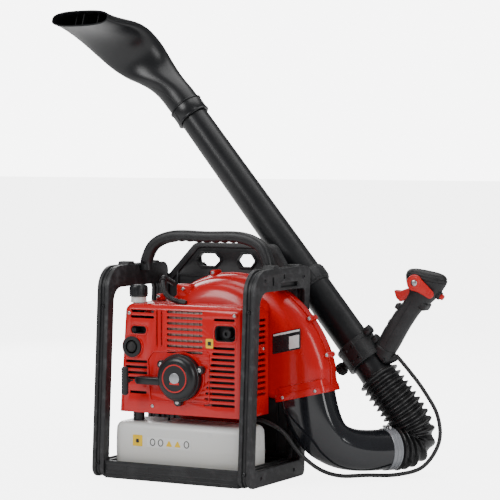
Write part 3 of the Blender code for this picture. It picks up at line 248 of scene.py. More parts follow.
def weave_group():
    """Over-and-under threads from a piece's own UV map, in metres."""
    net, given, out = group_tree(
        "Thread Weave", "ShaderNodeTree",
        [("Vector", VECTOR, None), ("Thread Width", FLOAT, 0.0016), ("Dark", COLOUR, (0, 0, 0, 1)),
         ("Light", COLOUR, (0.05, 0.05, 0.05, 1))],
        [("Colour", COLOUR), ("Height", FLOAT)])
    cut = net.add("ShaderNodeSeparateXYZ", {0: given["Vector"]})
    count = net.maths("DIVIDE", math.pi, given["Thread Width"])
    waves = [net.maths("SINE", net.maths("MULTIPLY", cut.outputs[k], count)) for k in (0, 1)]
    both = net.maths("MULTIPLY", waves[0], waves[1])
    height = net.ramp(both, -1.0, 1.0)
    fuzz = net.add("ShaderNodeTexNoise", {"Vector": given["Vector"], "Scale": 2200.0,
                                          "Detail": 2.0}).outputs[0]
    height = net.maths("ADD", height, net.maths("MULTIPLY", fuzz, 0.35))
    net.put(out["Colour"], net.blend(net.ramp(height, 0.2, 1.2), given["Dark"], given["Light"]))
    net.put(out["Height"], height)
    return net.tree


# ---------------------------------------------------------------- finishes
GROUPS = {}


def shader_group(name):
    """One shared shader group, built the first time it is asked for."""
    makers = {"Moulded Finish": moulded_group, "Settled Dust": dust_group,
              "Fine Lines": scratch_group, "Thread Weave": weave_group}
    if name not in GROUPS:
        GROUPS[name] = makers[name]()
    return GROUPS[name]


def rgba(rgb, factor=1.0):
    """A colour with alpha, brightened by a factor."""
    return (*(min(1.0, c * factor) for c in rgb), 1.0)


def blank_material(name):
    """A material with only its Principled shader."""
    mat = bpy.data.materials.new(name)
    mat.use_nodes = True
    shader = mat.node_tree.nodes["Principled BSDF"]
    return mat, Net(mat.node_tree), shader


def moulded(name, rgb, rubbed, roughness, spread, grain, bump, dust=0.0, mottle=18.0, rub=0.3,
            coat=0.0, metallic=0.0, specular=0.5):
    """A moulded or painted finish with grain, mottle and a trace of dust."""
    mat, net, shader = blank_material(name)
    place = net.add("ShaderNodeTexCoord").outputs["Object"]
    finish = net.add("ShaderNodeGroup")
    finish.node_tree = shader_group("Moulded Finish")
    for key, value in (("Vector", place), ("Colour", rgba(rgb)), ("Rubbed Colour", rgba(rubbed)),
                       ("Grain Scale", grain), ("Mottle Scale", mottle), ("Rub Amount", rub),
                       ("Roughness", roughness), ("Roughness Spread", spread)):
        net.put(finish.inputs[key], value)
    shade = finish.outputs["Colour"]
    rough = finish.outputs["Roughness"]
    if dust:
        layer = net.add("ShaderNodeGroup")
        layer.node_tree = shader_group("Settled Dust")
        for key, value in (("Vector", place), ("Colour", shade), ("Amount", dust)):
            net.put(layer.inputs[key], value)
        shade = layer.outputs["Colour"]
        rough = net.maths("ADD", rough, net.maths("MULTIPLY", layer.outputs["Mask"], 0.8), True)
    net.put(shader.inputs["Base Color"], shade)
    net.put(shader.inputs["Roughness"], rough)
    raised = net.add("ShaderNodeBump", {"Height": finish.outputs["Height"], "Strength": bump,
                                        "Distance": 0.0004})
    net.put(shader.inputs["Normal"], raised.outputs[0])
    shader.inputs["Coat Weight"].default_value = coat
    shader.inputs["Coat Roughness"].default_value = 0.08
    shader.inputs["Metallic"].default_value = metallic
    shader.inputs["Specular IOR Level"].default_value = specular
    return mat


def lined(name, rgb, roughness, across, along, bump, metallic, turn=(0.0, 0.0, 0.0)):
    """A finish with fine lines along one direction, such as drawn tube or turned steel."""
    mat, net, shader = blank_material(name)
    place = net.add("ShaderNodeTexCoord").outputs["Object"]
    turned_place = net.add("ShaderNodeMapping", {"Vector": place, "Rotation": turn}).outputs[0]
    lines = net.add("ShaderNodeGroup")
    lines.node_tree = shader_group("Fine Lines")
    for key, value in (("Vector", turned_place), ("Across Scale", across),
                       ("Along Scale", along)):
        net.put(lines.inputs[key], value)
    value = lines.outputs["Value"]
    net.put(shader.inputs["Base Color"], net.blend(value, rgba(rgb, 0.75), rgba(rgb, 1.25)))
    net.put(shader.inputs["Roughness"], net.ramp(value, 0.3, 0.7, roughness - 0.06,
                                                 roughness + 0.08))
    raised = net.add("ShaderNodeBump", {"Height": value, "Strength": bump, "Distance": 0.0003})
    net.put(shader.inputs["Normal"], raised.outputs[0])
    shader.inputs["Metallic"].default_value = metallic
    return mat


def woven(name, dark, light, thread, sheen):
    """Woven webbing or mesh on the piece's own UV map."""
    mat, net, shader = blank_material(name)
    cloth = net.add("ShaderNodeGroup")
    cloth.node_tree = shader_group("Thread Weave")
    place = net.add("ShaderNodeTexCoord").outputs["UV"]
    for key, value in (("Vector", place), ("Thread Width", thread), ("Dark", rgba(dark)),
                       ("Light", rgba(light))):
        net.put(cloth.inputs[key], value)
    net.put(shader.inputs["Base Color"], cloth.outputs["Colour"])
    raised = net.add("ShaderNodeBump", {"Height": cloth.outputs["Height"], "Strength": 0.6,
                                        "Distance": 0.0006})
    net.put(shader.inputs["Normal"], raised.outputs[0])
    shader.inputs["Roughness"].default_value = 0.85
    shader.inputs["Sheen Weight"].default_value = sheen
    return mat


MATERIALS = {}


def finish_of(name):
    """One of the object's finishes, built the first time it is used."""
    if name in MATERIALS:
        return MATERIALS[name]
    c = bpy.context.scene.blower_colours
    grey, pale = (0.045, 0.046, 0.048), (0.3, 0.3, 0.31)
    makers = {
        "shell_red": lambda: moulded("shell_red", c.shell_red, (0.66, 0.008, 0.008), 0.26, 0.1,
                                     420.0, 0.05, 0.03, coat=0.22),
        "control_red": lambda: moulded("control_red", c.control_red, (0.7, 0.05, 0.03), 0.34,
                                       0.12, 700.0, 0.1, 0.04, coat=0.15),
        "frame_black": lambda: moulded("frame_black", c.frame_black, grey, 0.42, 0.22, 1100.0,
                                       0.45, 0.1, 26.0, 0.45),
        "frame_ridge": lambda: moulded("frame_ridge", (0.016, 0.0165, 0.018), (0.07, 0.07, 0.074),
                                       0.46, 0.25, 750.0, 0.75, 0.12, 60.0, 0.75),
        "tube_black": lambda: moulded("tube_black", c.tube_black, (0.02, 0.02, 0.022), 0.3, 0.14,
                                      1000.0, 0.16, 0.06, 14.0, 0.3),
        "duct_gloss": lambda: moulded("duct_gloss", c.duct_black, (0.02, 0.022, 0.028), 0.13,
                                      0.08, 90.0, 0.05, 0.04, 10.0, 0.3, coat=0.4),
        "hose_rubber": lambda: moulded("hose_rubber", c.rubber_black, grey, 0.3, 0.16, 900.0,
                                       0.25, 0.1, 40.0, 0.35),
        "soft_rubber": lambda: moulded("soft_rubber", c.rubber_black, (0.03, 0.03, 0.032), 0.52,
                                       0.15, 1300.0, 0.4, 0.08, 50.0, 0.35),
        "grip_black": lambda: moulded("grip_black", (0.012, 0.012, 0.0135), grey, 0.46, 0.16,
                                      1500.0, 0.55, 0.08, 35.0, 0.3),
        "tank_white": lambda: tank_plastic(c.tank_white),
        "clamp_grey": lambda: moulded("clamp_grey", (0.27, 0.28, 0.3), pale, 0.22, 0.1, 300.0,
                                      0.08, 0.0, coat=0.4),
        "cast_alloy": lambda: moulded("cast_alloy", (0.42, 0.42, 0.43), (0.6, 0.6, 0.61), 0.48,
                                      0.2, 520.0, 0.7, 0.1, 30.0, 0.5, metallic=0.9),
        "steel": lambda: lined("steel", (0.56, 0.56, 0.57), 0.26, 1400.0, 30.0, 0.12, 1.0),
        "exhaust_steel": lambda: lined("exhaust_steel", (0.4, 0.3, 0.27), 0.38, 500.0, 40.0,
                                       0.15, 0.95),
        "bolt_black": lambda: moulded("bolt_black", (0.025, 0.025, 0.027), pale, 0.32, 0.2, 900.0,
                                      0.2, 0.0, 80.0, 0.4, metallic=0.8),
        "webbing": lambda: woven("webbing", c.webbing_black, (0.055, 0.055, 0.06), 0.0018, 0.15),
        "pad_mesh": lambda: woven("pad_mesh", c.webbing_black, (0.045, 0.046, 0.05), 0.0032,
                                  0.25),
        "thread": lambda: moulded("thread", (0.07, 0.07, 0.075), pale, 0.75, 0.1, 2500.0, 0.5),
        "rope": lambda: lined("rope", (0.03, 0.03, 0.032), 0.75, 700.0, 900.0, 0.6, 0.0),
        "sticker_yellow": lambda: moulded("sticker_yellow", c.sticker_yellow, (0.95, 0.78, 0.2),
                                          0.3, 0.1, 300.0, 0.04, mottle=90.0),
        "sticker_white": lambda: moulded("sticker_white", (0.8, 0.8, 0.79), (0.7, 0.7, 0.69),
                                         0.3, 0.1, 300.0, 0.04, mottle=90.0),
        "sticker_dark": lambda: moulded("sticker_dark", (0.012, 0.012, 0.014), grey, 0.25, 0.1,
                                        300.0, 0.04, mottle=90.0),
        "sticker_silver": lambda: lined("sticker_silver", (0.45, 0.46, 0.48), 0.3, 900.0, 20.0,
                                        0.05, 0.7),
        "ceramic": lambda: moulded("ceramic", (0.75, 0.74, 0.7), (0.6, 0.6, 0.58), 0.2, 0.1,
                                   300.0, 0.05),
    }
    MATERIALS[name] = makers[name]()
    return MATERIALS[name]


def tank_plastic(rgb):
    """Milky tank plastic: slightly yellower low down, with faint mould clouds."""
    mat, net, shader = blank_material("tank_white")
    place = net.add("ShaderNodeTexCoord").outputs["Object"]
    cloud = net.add("ShaderNodeTexNoise", {"Vector": place, "Scale": 16.0, "Detail": 5.0})
    level = net.ramp(net.add("ShaderNodeSeparateXYZ", {0: place}).outputs["Z"], 0.03, 0.1)
    low = net.blend(cloud.outputs[0], rgba(rgb, 0.86), rgba((0.74, 0.72, 0.66)))
    net.put(shader.inputs["Base Color"], net.blend(level, low, rgba(rgb)))
    net.put(shader.inputs["Roughness"], net.ramp(cloud.outputs[0], 0.2, 0.8, 0.22, 0.4))
    grain = net.add("ShaderNodeTexNoise", {"Vector": place, "Scale": 500.0})
    raised = net.add("ShaderNodeBump", {"Height": grain.outputs[0], "Strength": 0.08,
                                        "Distance": 0.0003})
    net.put(shader.inputs["Normal"], raised.outputs[0])
    shader.inputs["Subsurface Weight"].default_value = 0.35
    shader.inputs["Subsurface Radius"].default_value = (0.012, 0.011, 0.009)
    return mat


# ---------------------------------------------------------------- mesh helpers
SMOOTH_ANGLE = 38
ACROSS = Matrix(((0, 0, 1, 0), (1, 0, 0, 0), (0, 1, 0, 0), (0, 0, 0, 1)))   # Y, Z, X
FACING = Matrix(((1, 0, 0, 0), (0, 0, -1, 0), (0, 1, 0, 0), (0, 0, 0, 1)))  # X, Z, -Y


def linked(name, data):
    """A scene object for a mesh or curve."""
    obj = bpy.data.objects.new(name, data)
    bpy.context.scene.collection.objects.link(obj)
    return obj


def joined(name, meshes):
    """Several meshes as one, with the parts used up."""
    bm = bmesh.new()
    for mesh in meshes:
        bm.from_mesh(mesh)
        bpy.data.meshes.remove(mesh)
    out = bpy.data.meshes.new(name)
    bm.to_mesh(out)
    bm.free()
    return out


def shaded(mesh, angle=SMOOTH_ANGLE):
    """Smooth shading with sharp edges kept above an angle."""
    mesh.shade_smooth()
    mesh.set_sharp_from_angle(angle=math.radians(angle))
    return mesh


def evaluated(obj):
    """An object's finished mesh, with the object removed."""
    graph = bpy.context.evaluated_depsgraph_get()
    mesh = bpy.data.meshes.new_from_object(obj.evaluated_get(graph))
    mesh.transform(obj.matrix_world)
    bpy.data.objects.remove(obj, do_unlink=True)
    return mesh


def modified(mesh, *steps):
    """A mesh after modifiers, each given as its type and settings."""
    obj = linked("work", mesh)
    for kind, settings in steps:
        mod = obj.modifiers.new(kind.lower(), kind)
        for key, value in settings.items():
            setattr(mod, key, value)
    return evaluated(obj)


def rounded(mesh, width, segments=2, angle=32):
    """A mesh with its sharp edges rounded."""
    return modified(mesh, ("BEVEL", {"width": width, "segments": segments,
                                     "limit_method": "ANGLE",
                                     "angle_limit": math.radians(angle),
                                     "use_clamp_overlap": True}))


def subdivided(mesh, levels=1):
    """A mesh after subdivision."""
    return modified(mesh, ("SUBSURF", {"levels": levels, "render_levels": levels}))


def cut(mesh, tool, operation="DIFFERENCE"):
    """A mesh with another taken away from it."""
    other = linked("tool", tool)
    out = modified(mesh, ("BOOLEAN", {"object": other, "operation": operation,
                                      "solver": "EXACT"}))
    bpy.data.objects.remove(other, do_unlink=True)
    return out


def piece(name, mesh, finish, body, replaces=(), angle=SMOOTH_ANGLE):
    """A finished piece: its mesh in place, its finish, the body it rides on."""
    mesh.name = name
    mesh.materials.clear()
    mesh.materials.append(finish_of(finish) if isinstance(finish, str) else finish)
    for face in mesh.polygons:
        face.material_index = 0
    shaded(mesh, angle)
    obj = linked(name, mesh)
    if body:
        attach(obj, body)
    if replaces:
        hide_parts(*replaces)
    return obj


def merged(mesh, distance=0.00002):
    """A mesh with its coincident points joined and its faces turned outwards."""
    bm = bmesh.new()
    bm.from_mesh(mesh)
    bmesh.ops.remove_doubles(bm, verts=bm.verts, dist=distance)
    bmesh.ops.recalc_face_normals(bm, faces=bm.faces)
    bm.to_mesh(mesh)
    bm.free()
    return mesh


def node_mesh(node):
    """A welded copy of a frame node's mesh."""
    return merged(NODES[node].data.copy())


def block(low, high, round_by=0.0, segments=2):
    """A box between two corners."""
    bm = bmesh.new()
    bmesh.ops.create_cube(bm, size=1.0)
    low, high = Vector(low), Vector(high)
    for vert in bm.verts:
        for k in range(3):
            vert.co[k] = low[k] if vert.co[k] < 0 else high[k]
    if round_by:
        bmesh.ops.bevel(bm, geom=bm.edges[:], offset=round_by, segments=segments,
                        affect="EDGES", profile=0.5, clamp_overlap=True)
    mesh = bpy.data.meshes.new("block")
    bm.to_mesh(mesh)
    bm.free()
    return mesh


def axis_frame(origin, axis, side=(0, 1, 0)):
    """A placement whose Z runs along axis and whose X is close to side."""
    z = Vector(axis).normalized()
    x = Vector(side) - z * Vector(side).dot(z)
    if x.length < 1e-6:
        x = z.orthogonal()
    x.normalize()
    return Matrix.Translation(Vector(origin)) @ Matrix((x, z.cross(x), z)).transposed().to_4x4()


def turned(profile, origin, axis, steps=48, side=(0, 1, 0)):
    """A turned solid from (radius, height) points, top to bottom of the outer side."""
    bm = bmesh.new()
    closed = profile[0][0] > 0
    rings = []
    for radius, height in profile:
        if radius < 1e-9:
            rings.append([bm.verts.new((0, 0, height))])
        else:
            rings.append([bm.verts.new((radius * math.cos(2 * math.pi * k / steps),
                                        radius * math.sin(2 * math.pi * k / steps), height))
                          for k in range(steps)])
    pairs = list(zip(rings, rings[1:])) + ([(rings[-1], rings[0])] if closed else [])
    for upper, lower in pairs:
        for k in range(steps):
            n = (k + 1) % steps
            corners = [upper[k % len(upper)], lower[k % len(lower)], lower[n % len(lower)],
                       upper[n % len(upper)]]
            unique = list(dict.fromkeys(corners))
            if len(unique) > 2:
                bm.faces.new(unique)
    bmesh.ops.recalc_face_normals(bm, faces=bm.faces)
    mesh = bpy.data.meshes.new("turned")
    bm.to_mesh(mesh)
    bm.free()
    mesh.transform(axis_frame(origin, axis, side))
    return mesh


def rod(radius, start, end, edge=0.0, steps=32):
    """A solid round bar with softened ends."""
    start, end = Vector(start), Vector(end)
    long = (end - start).length
    edge = min(edge, long / 2, radius)
    arc = [(radius - edge + edge * math.sin(a), edge - edge * math.cos(a))
           for a in (math.pi / 6 * k for k in range(4))] if edge else [(radius, 0)]
    top = [(0, long)] + [(r, long - h) for r, h in arc]
    bottom = [(r, h) for r, h in reversed(arc)] + [(0, 0)]
    return turned(top + bottom, start, end - start, steps)


def plate(loops, low, high, edge=0.0, place=None, segments=2):
    """A flat outline with holes, given thickness and rounded edges."""
    curve = bpy.data.curves.new("plate", "CURVE")
    curve.dimensions = "2D"
    curve.fill_mode = "BOTH"
    curve.extrude = (high - low) / 2 - edge
    curve.bevel_depth = edge
    curve.bevel_resolution = segments
    curve.offset = -edge
    for loop in loops:
        spline = curve.splines.new("POLY")
        spline.points.add(len(loop) - 1)
        for point, (u, v) in zip(spline.points, loop):
            point.co = (u, v, 0, 1)
        spline.use_cyclic_u = True
    mesh = evaluated(linked("plate", curve))
    mesh.transform(Matrix.Translation((0, 0, (low + high) / 2)))
    if place:
        mesh.transform(place)
    return merged(mesh, 0.00001)


def rounded_loop(corners, radii, steps=8):
    """A closed outline with its corners rounded by arcs."""
    points = []
    count = len(corners)
    for i in range(count):
        here = Vector(corners[i])
        before = (Vector(corners[i - 1]) - here).normalized()
        after = (Vector(corners[(i + 1) % count]) - here).normalized()
        half = before.angle(after) / 2
        radius = radii[i] if isinstance(radii, (tuple, list)) else radii
        reach = radius / math.tan(half)
        centre = here + (before + after).normalized() * (radius / math.sin(half))
        first, last = here + before * reach - centre, here + after * reach - centre
        sweep = first.angle_signed(last)
        for k in range(steps + 1):
            points.append(tuple(centre + Matrix.Rotation(-sweep * k / steps, 2) @ first))
    return points


def rectangle(x0, z0, x1, z1, radius=0.001, steps=4):
    """A level rounded rectangle outline."""
    return rounded_loop([(x0, z0), (x1, z0), (x1, z1), (x0, z1)], radius, steps)


def bezier(p0, p1, p2, p3, t):
    """A point on a cubic curve."""
    s = 1 - t
    return p0 * s ** 3 + p1 * 3 * s * s * t + p2 * 3 * s * t * t + p3 * t ** 3


def through(points, per_span):
    """A smooth curve through the given points."""
    pts = [Vector(p) for p in points]
    path = []
    for i in range(len(pts) - 1):
        a, b, c, d = pts[max(i - 1, 0)], pts[i], pts[i + 1], pts[min(i + 2, len(pts) - 1)]
        for k in range(per_span):
            t = k / per_span
            path.append(0.5 * (2 * b + (c - a) * t + (2 * a - 5 * b + 4 * c - d) * t * t
                               + (3 * b - a - 3 * c + d) * t ** 3))
    path.append(pts[-1])
    return path


def path_frames(path, first_side):
    """A point, a side and an up direction at each point, without twist."""
    frames = []
    side = Vector(first_side)
    for i, point in enumerate(path):
        ahead = (path[min(i + 1, len(path) - 1)] - path[max(i - 1, 0)]).normalized()
        side = (side - ahead * side.dot(ahead)).normalized()
        frames.append((point, side, ahead.cross(side)))
    return frames


def section(place, half_width, half_height, power=2.0, count=40):
    """A ring of points: an ellipse, squarer as power grows."""
    point, side, up = place
    ring = []
    for k in range(count):
        angle = 2 * math.pi * k / count
        c, s = math.cos(angle), math.sin(angle)
        x = math.copysign(abs(c) ** (2 / power), c) * half_width
        y = math.copysign(abs(s) ** (2 / power), s) * half_height
        ring.append(point + side * x + up * y)
    return ring


def loft(rings, inner=None):
    """Rings joined into a solid, or into a duct when inner rings are given."""
    bm = bmesh.new()

    def skin(sections):
        rows = [[bm.verts.new(p) for p in ring] for ring in sections]
        for low, high in zip(rows, rows[1:]):
            for k in range(len(low)):
                n = (k + 1) % len(low)
                bm.faces.new((low[k], low[n], high[n], high[k]))
        return rows

    outside = skin(rings)
    if inner is None:
        for ring in (outside[0], outside[-1]):
            bm.faces.new(ring)
    else:
        inside = skin(inner)
        for out_ring, in_ring in ((outside[0], inside[0]), (outside[-1], inside[-1])):
            for k in range(len(out_ring)):
                n = (k + 1) % len(out_ring)
                bm.faces.new((out_ring[k], out_ring[n], in_ring[n], in_ring[k]))
    bmesh.ops.recalc_face_normals(bm, faces=bm.faces)
    mesh = bpy.data.meshes.new("loft")
    bm.to_mesh(mesh)
    bm.free()
    return mesh


def cord_mesh(path, radius, count=12, side=(0, 0, 1)):
    """A round cord along a path; radius may be one number or one per point."""
    radii = radius if isinstance(radius, (tuple, list)) else [radius] * len(path)
    frames = path_frames(path, side)
    return loft([section(f, r, r, 2.0, count) for f, r in zip(frames, radii)])


# ---------------------------------------------------------------- geometry nodes
def nodes_result(mesh, tree, values, finish):
    """The plain mesh that a geometry tree makes from a mesh and its named inputs."""
    obj = linked("pattern", mesh)
    mod = obj.modifiers.new("pattern", "NODES")
    mod.node_group = tree
    for item in tree.interface.items_tree:
        if item.item_type == "SOCKET" and item.in_out == "INPUT" and item.name in values:
            mod[item.identifier] = values[item.name]
        elif getattr(item, "in_out", "") == "INPUT" and item.name == "Finish":
            mod[item.identifier] = finish_of(finish)
    obj.update_tag()
    return evaluated(obj)


def repeat_tree():
    """Instances of a part on points; each point holds its own facing, and all share one size."""
    name = "Repeat Part on Points"
    if name in bpy.data.node_groups:
        return bpy.data.node_groups[name]
    net, given, out = group_tree(
        name, "GeometryNodeTree",
        [("Geometry", "NodeSocketGeometry", None), ("Part", "NodeSocketObject", None),
         ("Part Scale", FLOAT, 1.0), ("Spin Spread", FLOAT, 0.0), ("Seed", "NodeSocketInt", 3),
         ("Finish", "NodeSocketMaterial", None)],
        [("Geometry", "NodeSocketGeometry")])
    part = net.add("GeometryNodeObjectInfo", {"Object": given["Part"]})
    facing = net.add("GeometryNodeInputNamedAttribute", {"Name": "facing"},
                     data_type="FLOAT_VECTOR").outputs["Attribute"]
    turn = net.add("FunctionNodeAlignRotationToVector", {"Vector": facing}, axis="Z").outputs[0]
    spin = net.add("FunctionNodeRandomValue", data_type="FLOAT")
    net.put(spin.inputs[3], given["Spin Spread"])
    net.put(spin.inputs["Seed"], given["Seed"])
    own = net.add("FunctionNodeAxisAngleToRotation", {"Axis": (0, 0, 1),
                                                      "Angle": spin.outputs[1]}).outputs[0]
    both = net.add("FunctionNodeRotateRotation", {"Rotation": turn, "Rotate By": own},
                   rotation_space="LOCAL").outputs[0]
    placed = net.add("GeometryNodeInstanceOnPoints", {
        "Points": given["Geometry"], "Instance": part.outputs["Geometry"], "Rotation": both,
        "Scale": net.add("ShaderNodeCombineXYZ", {k: given["Part Scale"] for k in range(3)})
        .outputs[0]}).outputs[0]
    real = net.add("GeometryNodeRealizeInstances", {0: placed}).outputs[0]
    net.put(out["Geometry"], net.add("GeometryNodeSetMaterial", {
        "Geometry": real, "Material": given["Finish"]}).outputs[0])
    return net.tree


def scattered(part_mesh, places, finish, scale=1.0, spread=0.0, seed=3):
    """A part repeated at (point, facing) places, as one mesh."""
    points = bpy.data.meshes.new("points")
    points.from_pydata([tuple(p) for p, _ in places], [], [])
    facing = points.attributes.new("facing", "FLOAT_VECTOR", "POINT")
    facing.data.foreach_set("vector", [c for _, f in places for c in Vector(f).normalized()])
    part = linked("part", part_mesh)
    made = nodes_result(points, repeat_tree(), {"Part": part, "Part Scale": scale,
                                                "Spin Spread": spread, "Seed": seed}, finish)
    bpy.data.objects.remove(part, do_unlink=True)
    return made


def bellows_tree():
    """A ribbed sleeve along a path: its radius swings between groove and fin."""
    name = "Ribbed Sleeve"
    if name in bpy.data.node_groups:
        return bpy.data.node_groups[name]
    net, given, out = group_tree(
        name, "GeometryNodeTree",
        [("Geometry", "NodeSocketGeometry", None), ("Ribs", "NodeSocketInt", 16),
         ("Steps per Rib", "NodeSocketInt", 8), ("Groove Radius", FLOAT, 0.037),
         ("Rib Height", FLOAT, 0.008), ("Sharpness", FLOAT, 1.6),
         ("Sides", "NodeSocketInt", 48), ("Finish", "NodeSocketMaterial", None)],
        [("Geometry", "NodeSocketGeometry")])
    line = net.add("GeometryNodeMeshToCurve", {0: given["Geometry"]}).outputs[0]
    steps = net.maths("MULTIPLY", given["Ribs"], given["Steps per Rib"])
    count = net.maths("ADD", steps, 1.0)
    line = net.add("GeometryNodeResampleCurve", {"Curve": line, "Count": count}).outputs[0]
    share = net.add("GeometryNodeSplineParameter").outputs["Factor"]
    turns = net.maths("MULTIPLY", net.maths("MULTIPLY", share, given["Ribs"]), 2 * math.pi)
    wave = net.maths("SUBTRACT", 0.5, net.maths("MULTIPLY", net.maths("COSINE", turns), 0.5))
    crest = net.maths("POWER", wave, given["Sharpness"])
    radius = net.maths("ADD", given["Groove Radius"], net.maths("MULTIPLY", crest,
                                                                given["Rib Height"]))
    profile = net.add("GeometryNodeCurvePrimitiveCircle", {"Resolution": given["Sides"],
                                                           "Radius": 1.0}).outputs[0]
    sleeve = net.add("GeometryNodeCurveToMesh", {"Curve": line, "Profile Curve": profile,
                                                 "Scale": radius}).outputs[0]
    real = net.add("GeometryNodeRealizeInstances", {0: sleeve}).outputs[0]
    net.put(out["Geometry"], net.add("GeometryNodeSetMaterial", {
        "Geometry": real, "Material": given["Finish"]}).outputs[0])
    return net.tree


def ribbed_sleeve(path, values, finish):
    """The mesh of a ribbed sleeve along a path."""
    line = bpy.data.meshes.new("line")
    line.from_pydata([tuple(p) for p in path], [(i, i + 1) for i in range(len(path) - 1)], [])
    return nodes_result(line, bellows_tree(), values, finish)


# ---------------------------------------------------------------- carrying frame
LEAN = 0.0625                  # backward lean of the frame, metres of Y per metre of Z
LOOP_LOW, LOOP_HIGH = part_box("frame_right_loop")
LOOP_EDGE = LOOP_HIGH.x        # outer face of the side loops
LOOP_WIDTH = LOOP_HIGH.x - LOOP_LOW.x
FRAME_TOP = LOOP_HIGH.z
HALF_DEPTH = 0.118
POST, TOP_RAIL, BOTTOM_RAIL = 0.022, 0.045, 0.034
INNER_X = LOOP_EDGE - LOOP_WIDTH - 0.0003


def leaned(y, z):
    """Where the leaning frame puts a point of its base plan at height z."""
    return y + LEAN * z


def loop_outlines(inset):
    """A side loop's outer and inner outlines, both moved into its rail by inset."""
    top = FRAME_TOP - inset
    front, back = inset - HALF_DEPTH, HALF_DEPTH - inset
    outer = [(front, inset), (back, inset), (leaned(back, top), top), (leaned(front, top), top)]
    low, high = BOTTOM_RAIL - inset, FRAME_TOP - TOP_RAIL + inset
    near, far = POST - HALF_DEPTH - inset, HALF_DEPTH - POST + inset
    inner = [(leaned(near, low), low), (leaned(far, low), low), (leaned(far, high), high),
             (leaned(near, high), high)]
    return [rounded_loop(outer, [r - inset for r in (0.02, 0.012, 0.02, 0.05)], 10),
            rounded_loop(inner, [r + inset for r in (0.008, 0.008, 0.012, 0.03)], 10)]


def rail_slots(side):
    """Two short slots and one long one in the loop's top rail, in Y and Z."""
    middle = FRAME_TOP - TOP_RAIL * 0.55
    slots = [rectangle(leaned(-0.042, middle) - 0.004, middle - 0.009,
                       leaned(-0.042, middle) + 0.004, middle + 0.009, 0.003),
             rectangle(leaned(-0.01, middle), middle - 0.014,
                       leaned(0.062, middle), middle - 0.005, 0.003),
             rectangle(leaned(0.004, middle) - 0.003, middle + 0.003,
                       leaned(0.004, middle) + 0.003, middle + 0.012, 0.002)]
    return slots if side > 0 else slots[:1]


class BLOWER_OT_frame_loops(bpy.types.Operator):
    """Makes the two side loops with their raised bands, sunk webs and hook humps."""
    bl_idname = "blower.frame_loops"
    bl_label = "Frame Loops"

    def execute(self, context):
        sizes = context.scene.blower_sizes
        for side, node in ((-1, "frame_left_loop"), (1, "frame_right_loop")):
            outside = side * LOOP_EDGE
            inside = side * (LOOP_EDGE - LOOP_WIDTH)
            bands = []
            for a, b, holes in ((outside, outside - side * sizes.flange_width, rail_slots(side)),
                                (inside + side * sizes.flange_width, inside, [])):
                bands.append(plate(loop_outlines(0.0) + holes, min(a, b), max(a, b),
                                   sizes.edge_round, ACROSS))
            piece(node + "_bands", joined("bands", bands), "frame_ridge", "frame",
                  (node,))
            lip = sizes.flange_width - sizes.edge_round
            low, high = sorted((outside - side * lip, inside + side * lip))
            web = plate(loop_outlines(sizes.web_depth), low, high, 0.0004, ACROSS)
            rib = plate(loop_outlines(sizes.web_depth - 0.0012), (low + high) / 2 - 0.0015,
                        (low + high) / 2 + 0.0015, 0.0006, ACROSS)
            piece(node + "_web", joined("web", [web, rib]), "frame_black", "frame", ())
            hump = self.humps(side)
            piece(node + "_humps", hump, "frame_ridge", "frame", ())
            screws = [((x, leaned(y, z) - 0.0002, z), (0, -1, 0)) for x, y, z in
                      ((side * (LOOP_EDGE - LOOP_WIDTH / 2), -HALF_DEPTH + 0.002, 0.03),
                       (side * (LOOP_EDGE - LOOP_WIDTH / 2), -HALF_DEPTH + 0.002, 0.35))]
            screws += [((side * (LOOP_EDGE - 0.0004), leaned(y, z), z), (side, 0, 0))
                       for y, z in ((-0.078, FRAME_TOP - 0.022), (0.088, FRAME_TOP - 0.022),
                                    (-0.07, 0.017), (0.07, 0.017))]
            made = scattered(screw_head(0.0042, 0.0022), screws, "bolt_black", 1.0, 3.0, 5)
            piece(node + "_screws", made, "bolt_black", "frame", ())
        return {"FINISHED"}

    @staticmethod
    def humps(side):
        """The raised pads on a top rail that the carry handle bolts to."""
        x0, x1 = sorted((side * (LOOP_EDGE - 0.001), side * (LOOP_EDGE - LOOP_WIDTH + 0.001)))
        shapes = []
        for y, wide, tall in ((-0.03, 0.034, 0.0085), (0.074, 0.026, 0.006)):
            base = FRAME_TOP - 0.006
            outline = rounded_loop([(leaned(y, base) - wide / 2, base),
                                    (leaned(y, base) + wide / 2, base),
                                    (leaned(y, base) + wide / 2 - 0.007, base + tall + 0.004),
                                    (leaned(y, base) - wide / 2 + 0.007, base + tall + 0.004)],
                                   [0.001, 0.001, 0.005, 0.005], 6)
            shapes.append(plate([outline], x0, x1, 0.0012, ACROSS))
        return joined("humps", shapes)


def screw_head(radius, height):
    """A pan head with a cross recess, standing on Z."""
    dome = [(0, height), (radius * 0.55, height * 0.96), (radius * 0.86, height * 0.72),
            (radius, height * 0.3), (radius, -height), (0, -height)]
    head = turned(dome, (0, 0, 0), (0, 0, 1), 20)
    arm = radius * 0.62
    cross = joined("cross", [block((-arm, -arm * 0.18, height * 0.45),
                                   (arm, arm * 0.18, height * 2))])
    head = cut(head, cross)
    return cut(head, block((-arm * 0.18, -arm, height * 0.45), (arm * 0.18, arm, height * 2)))


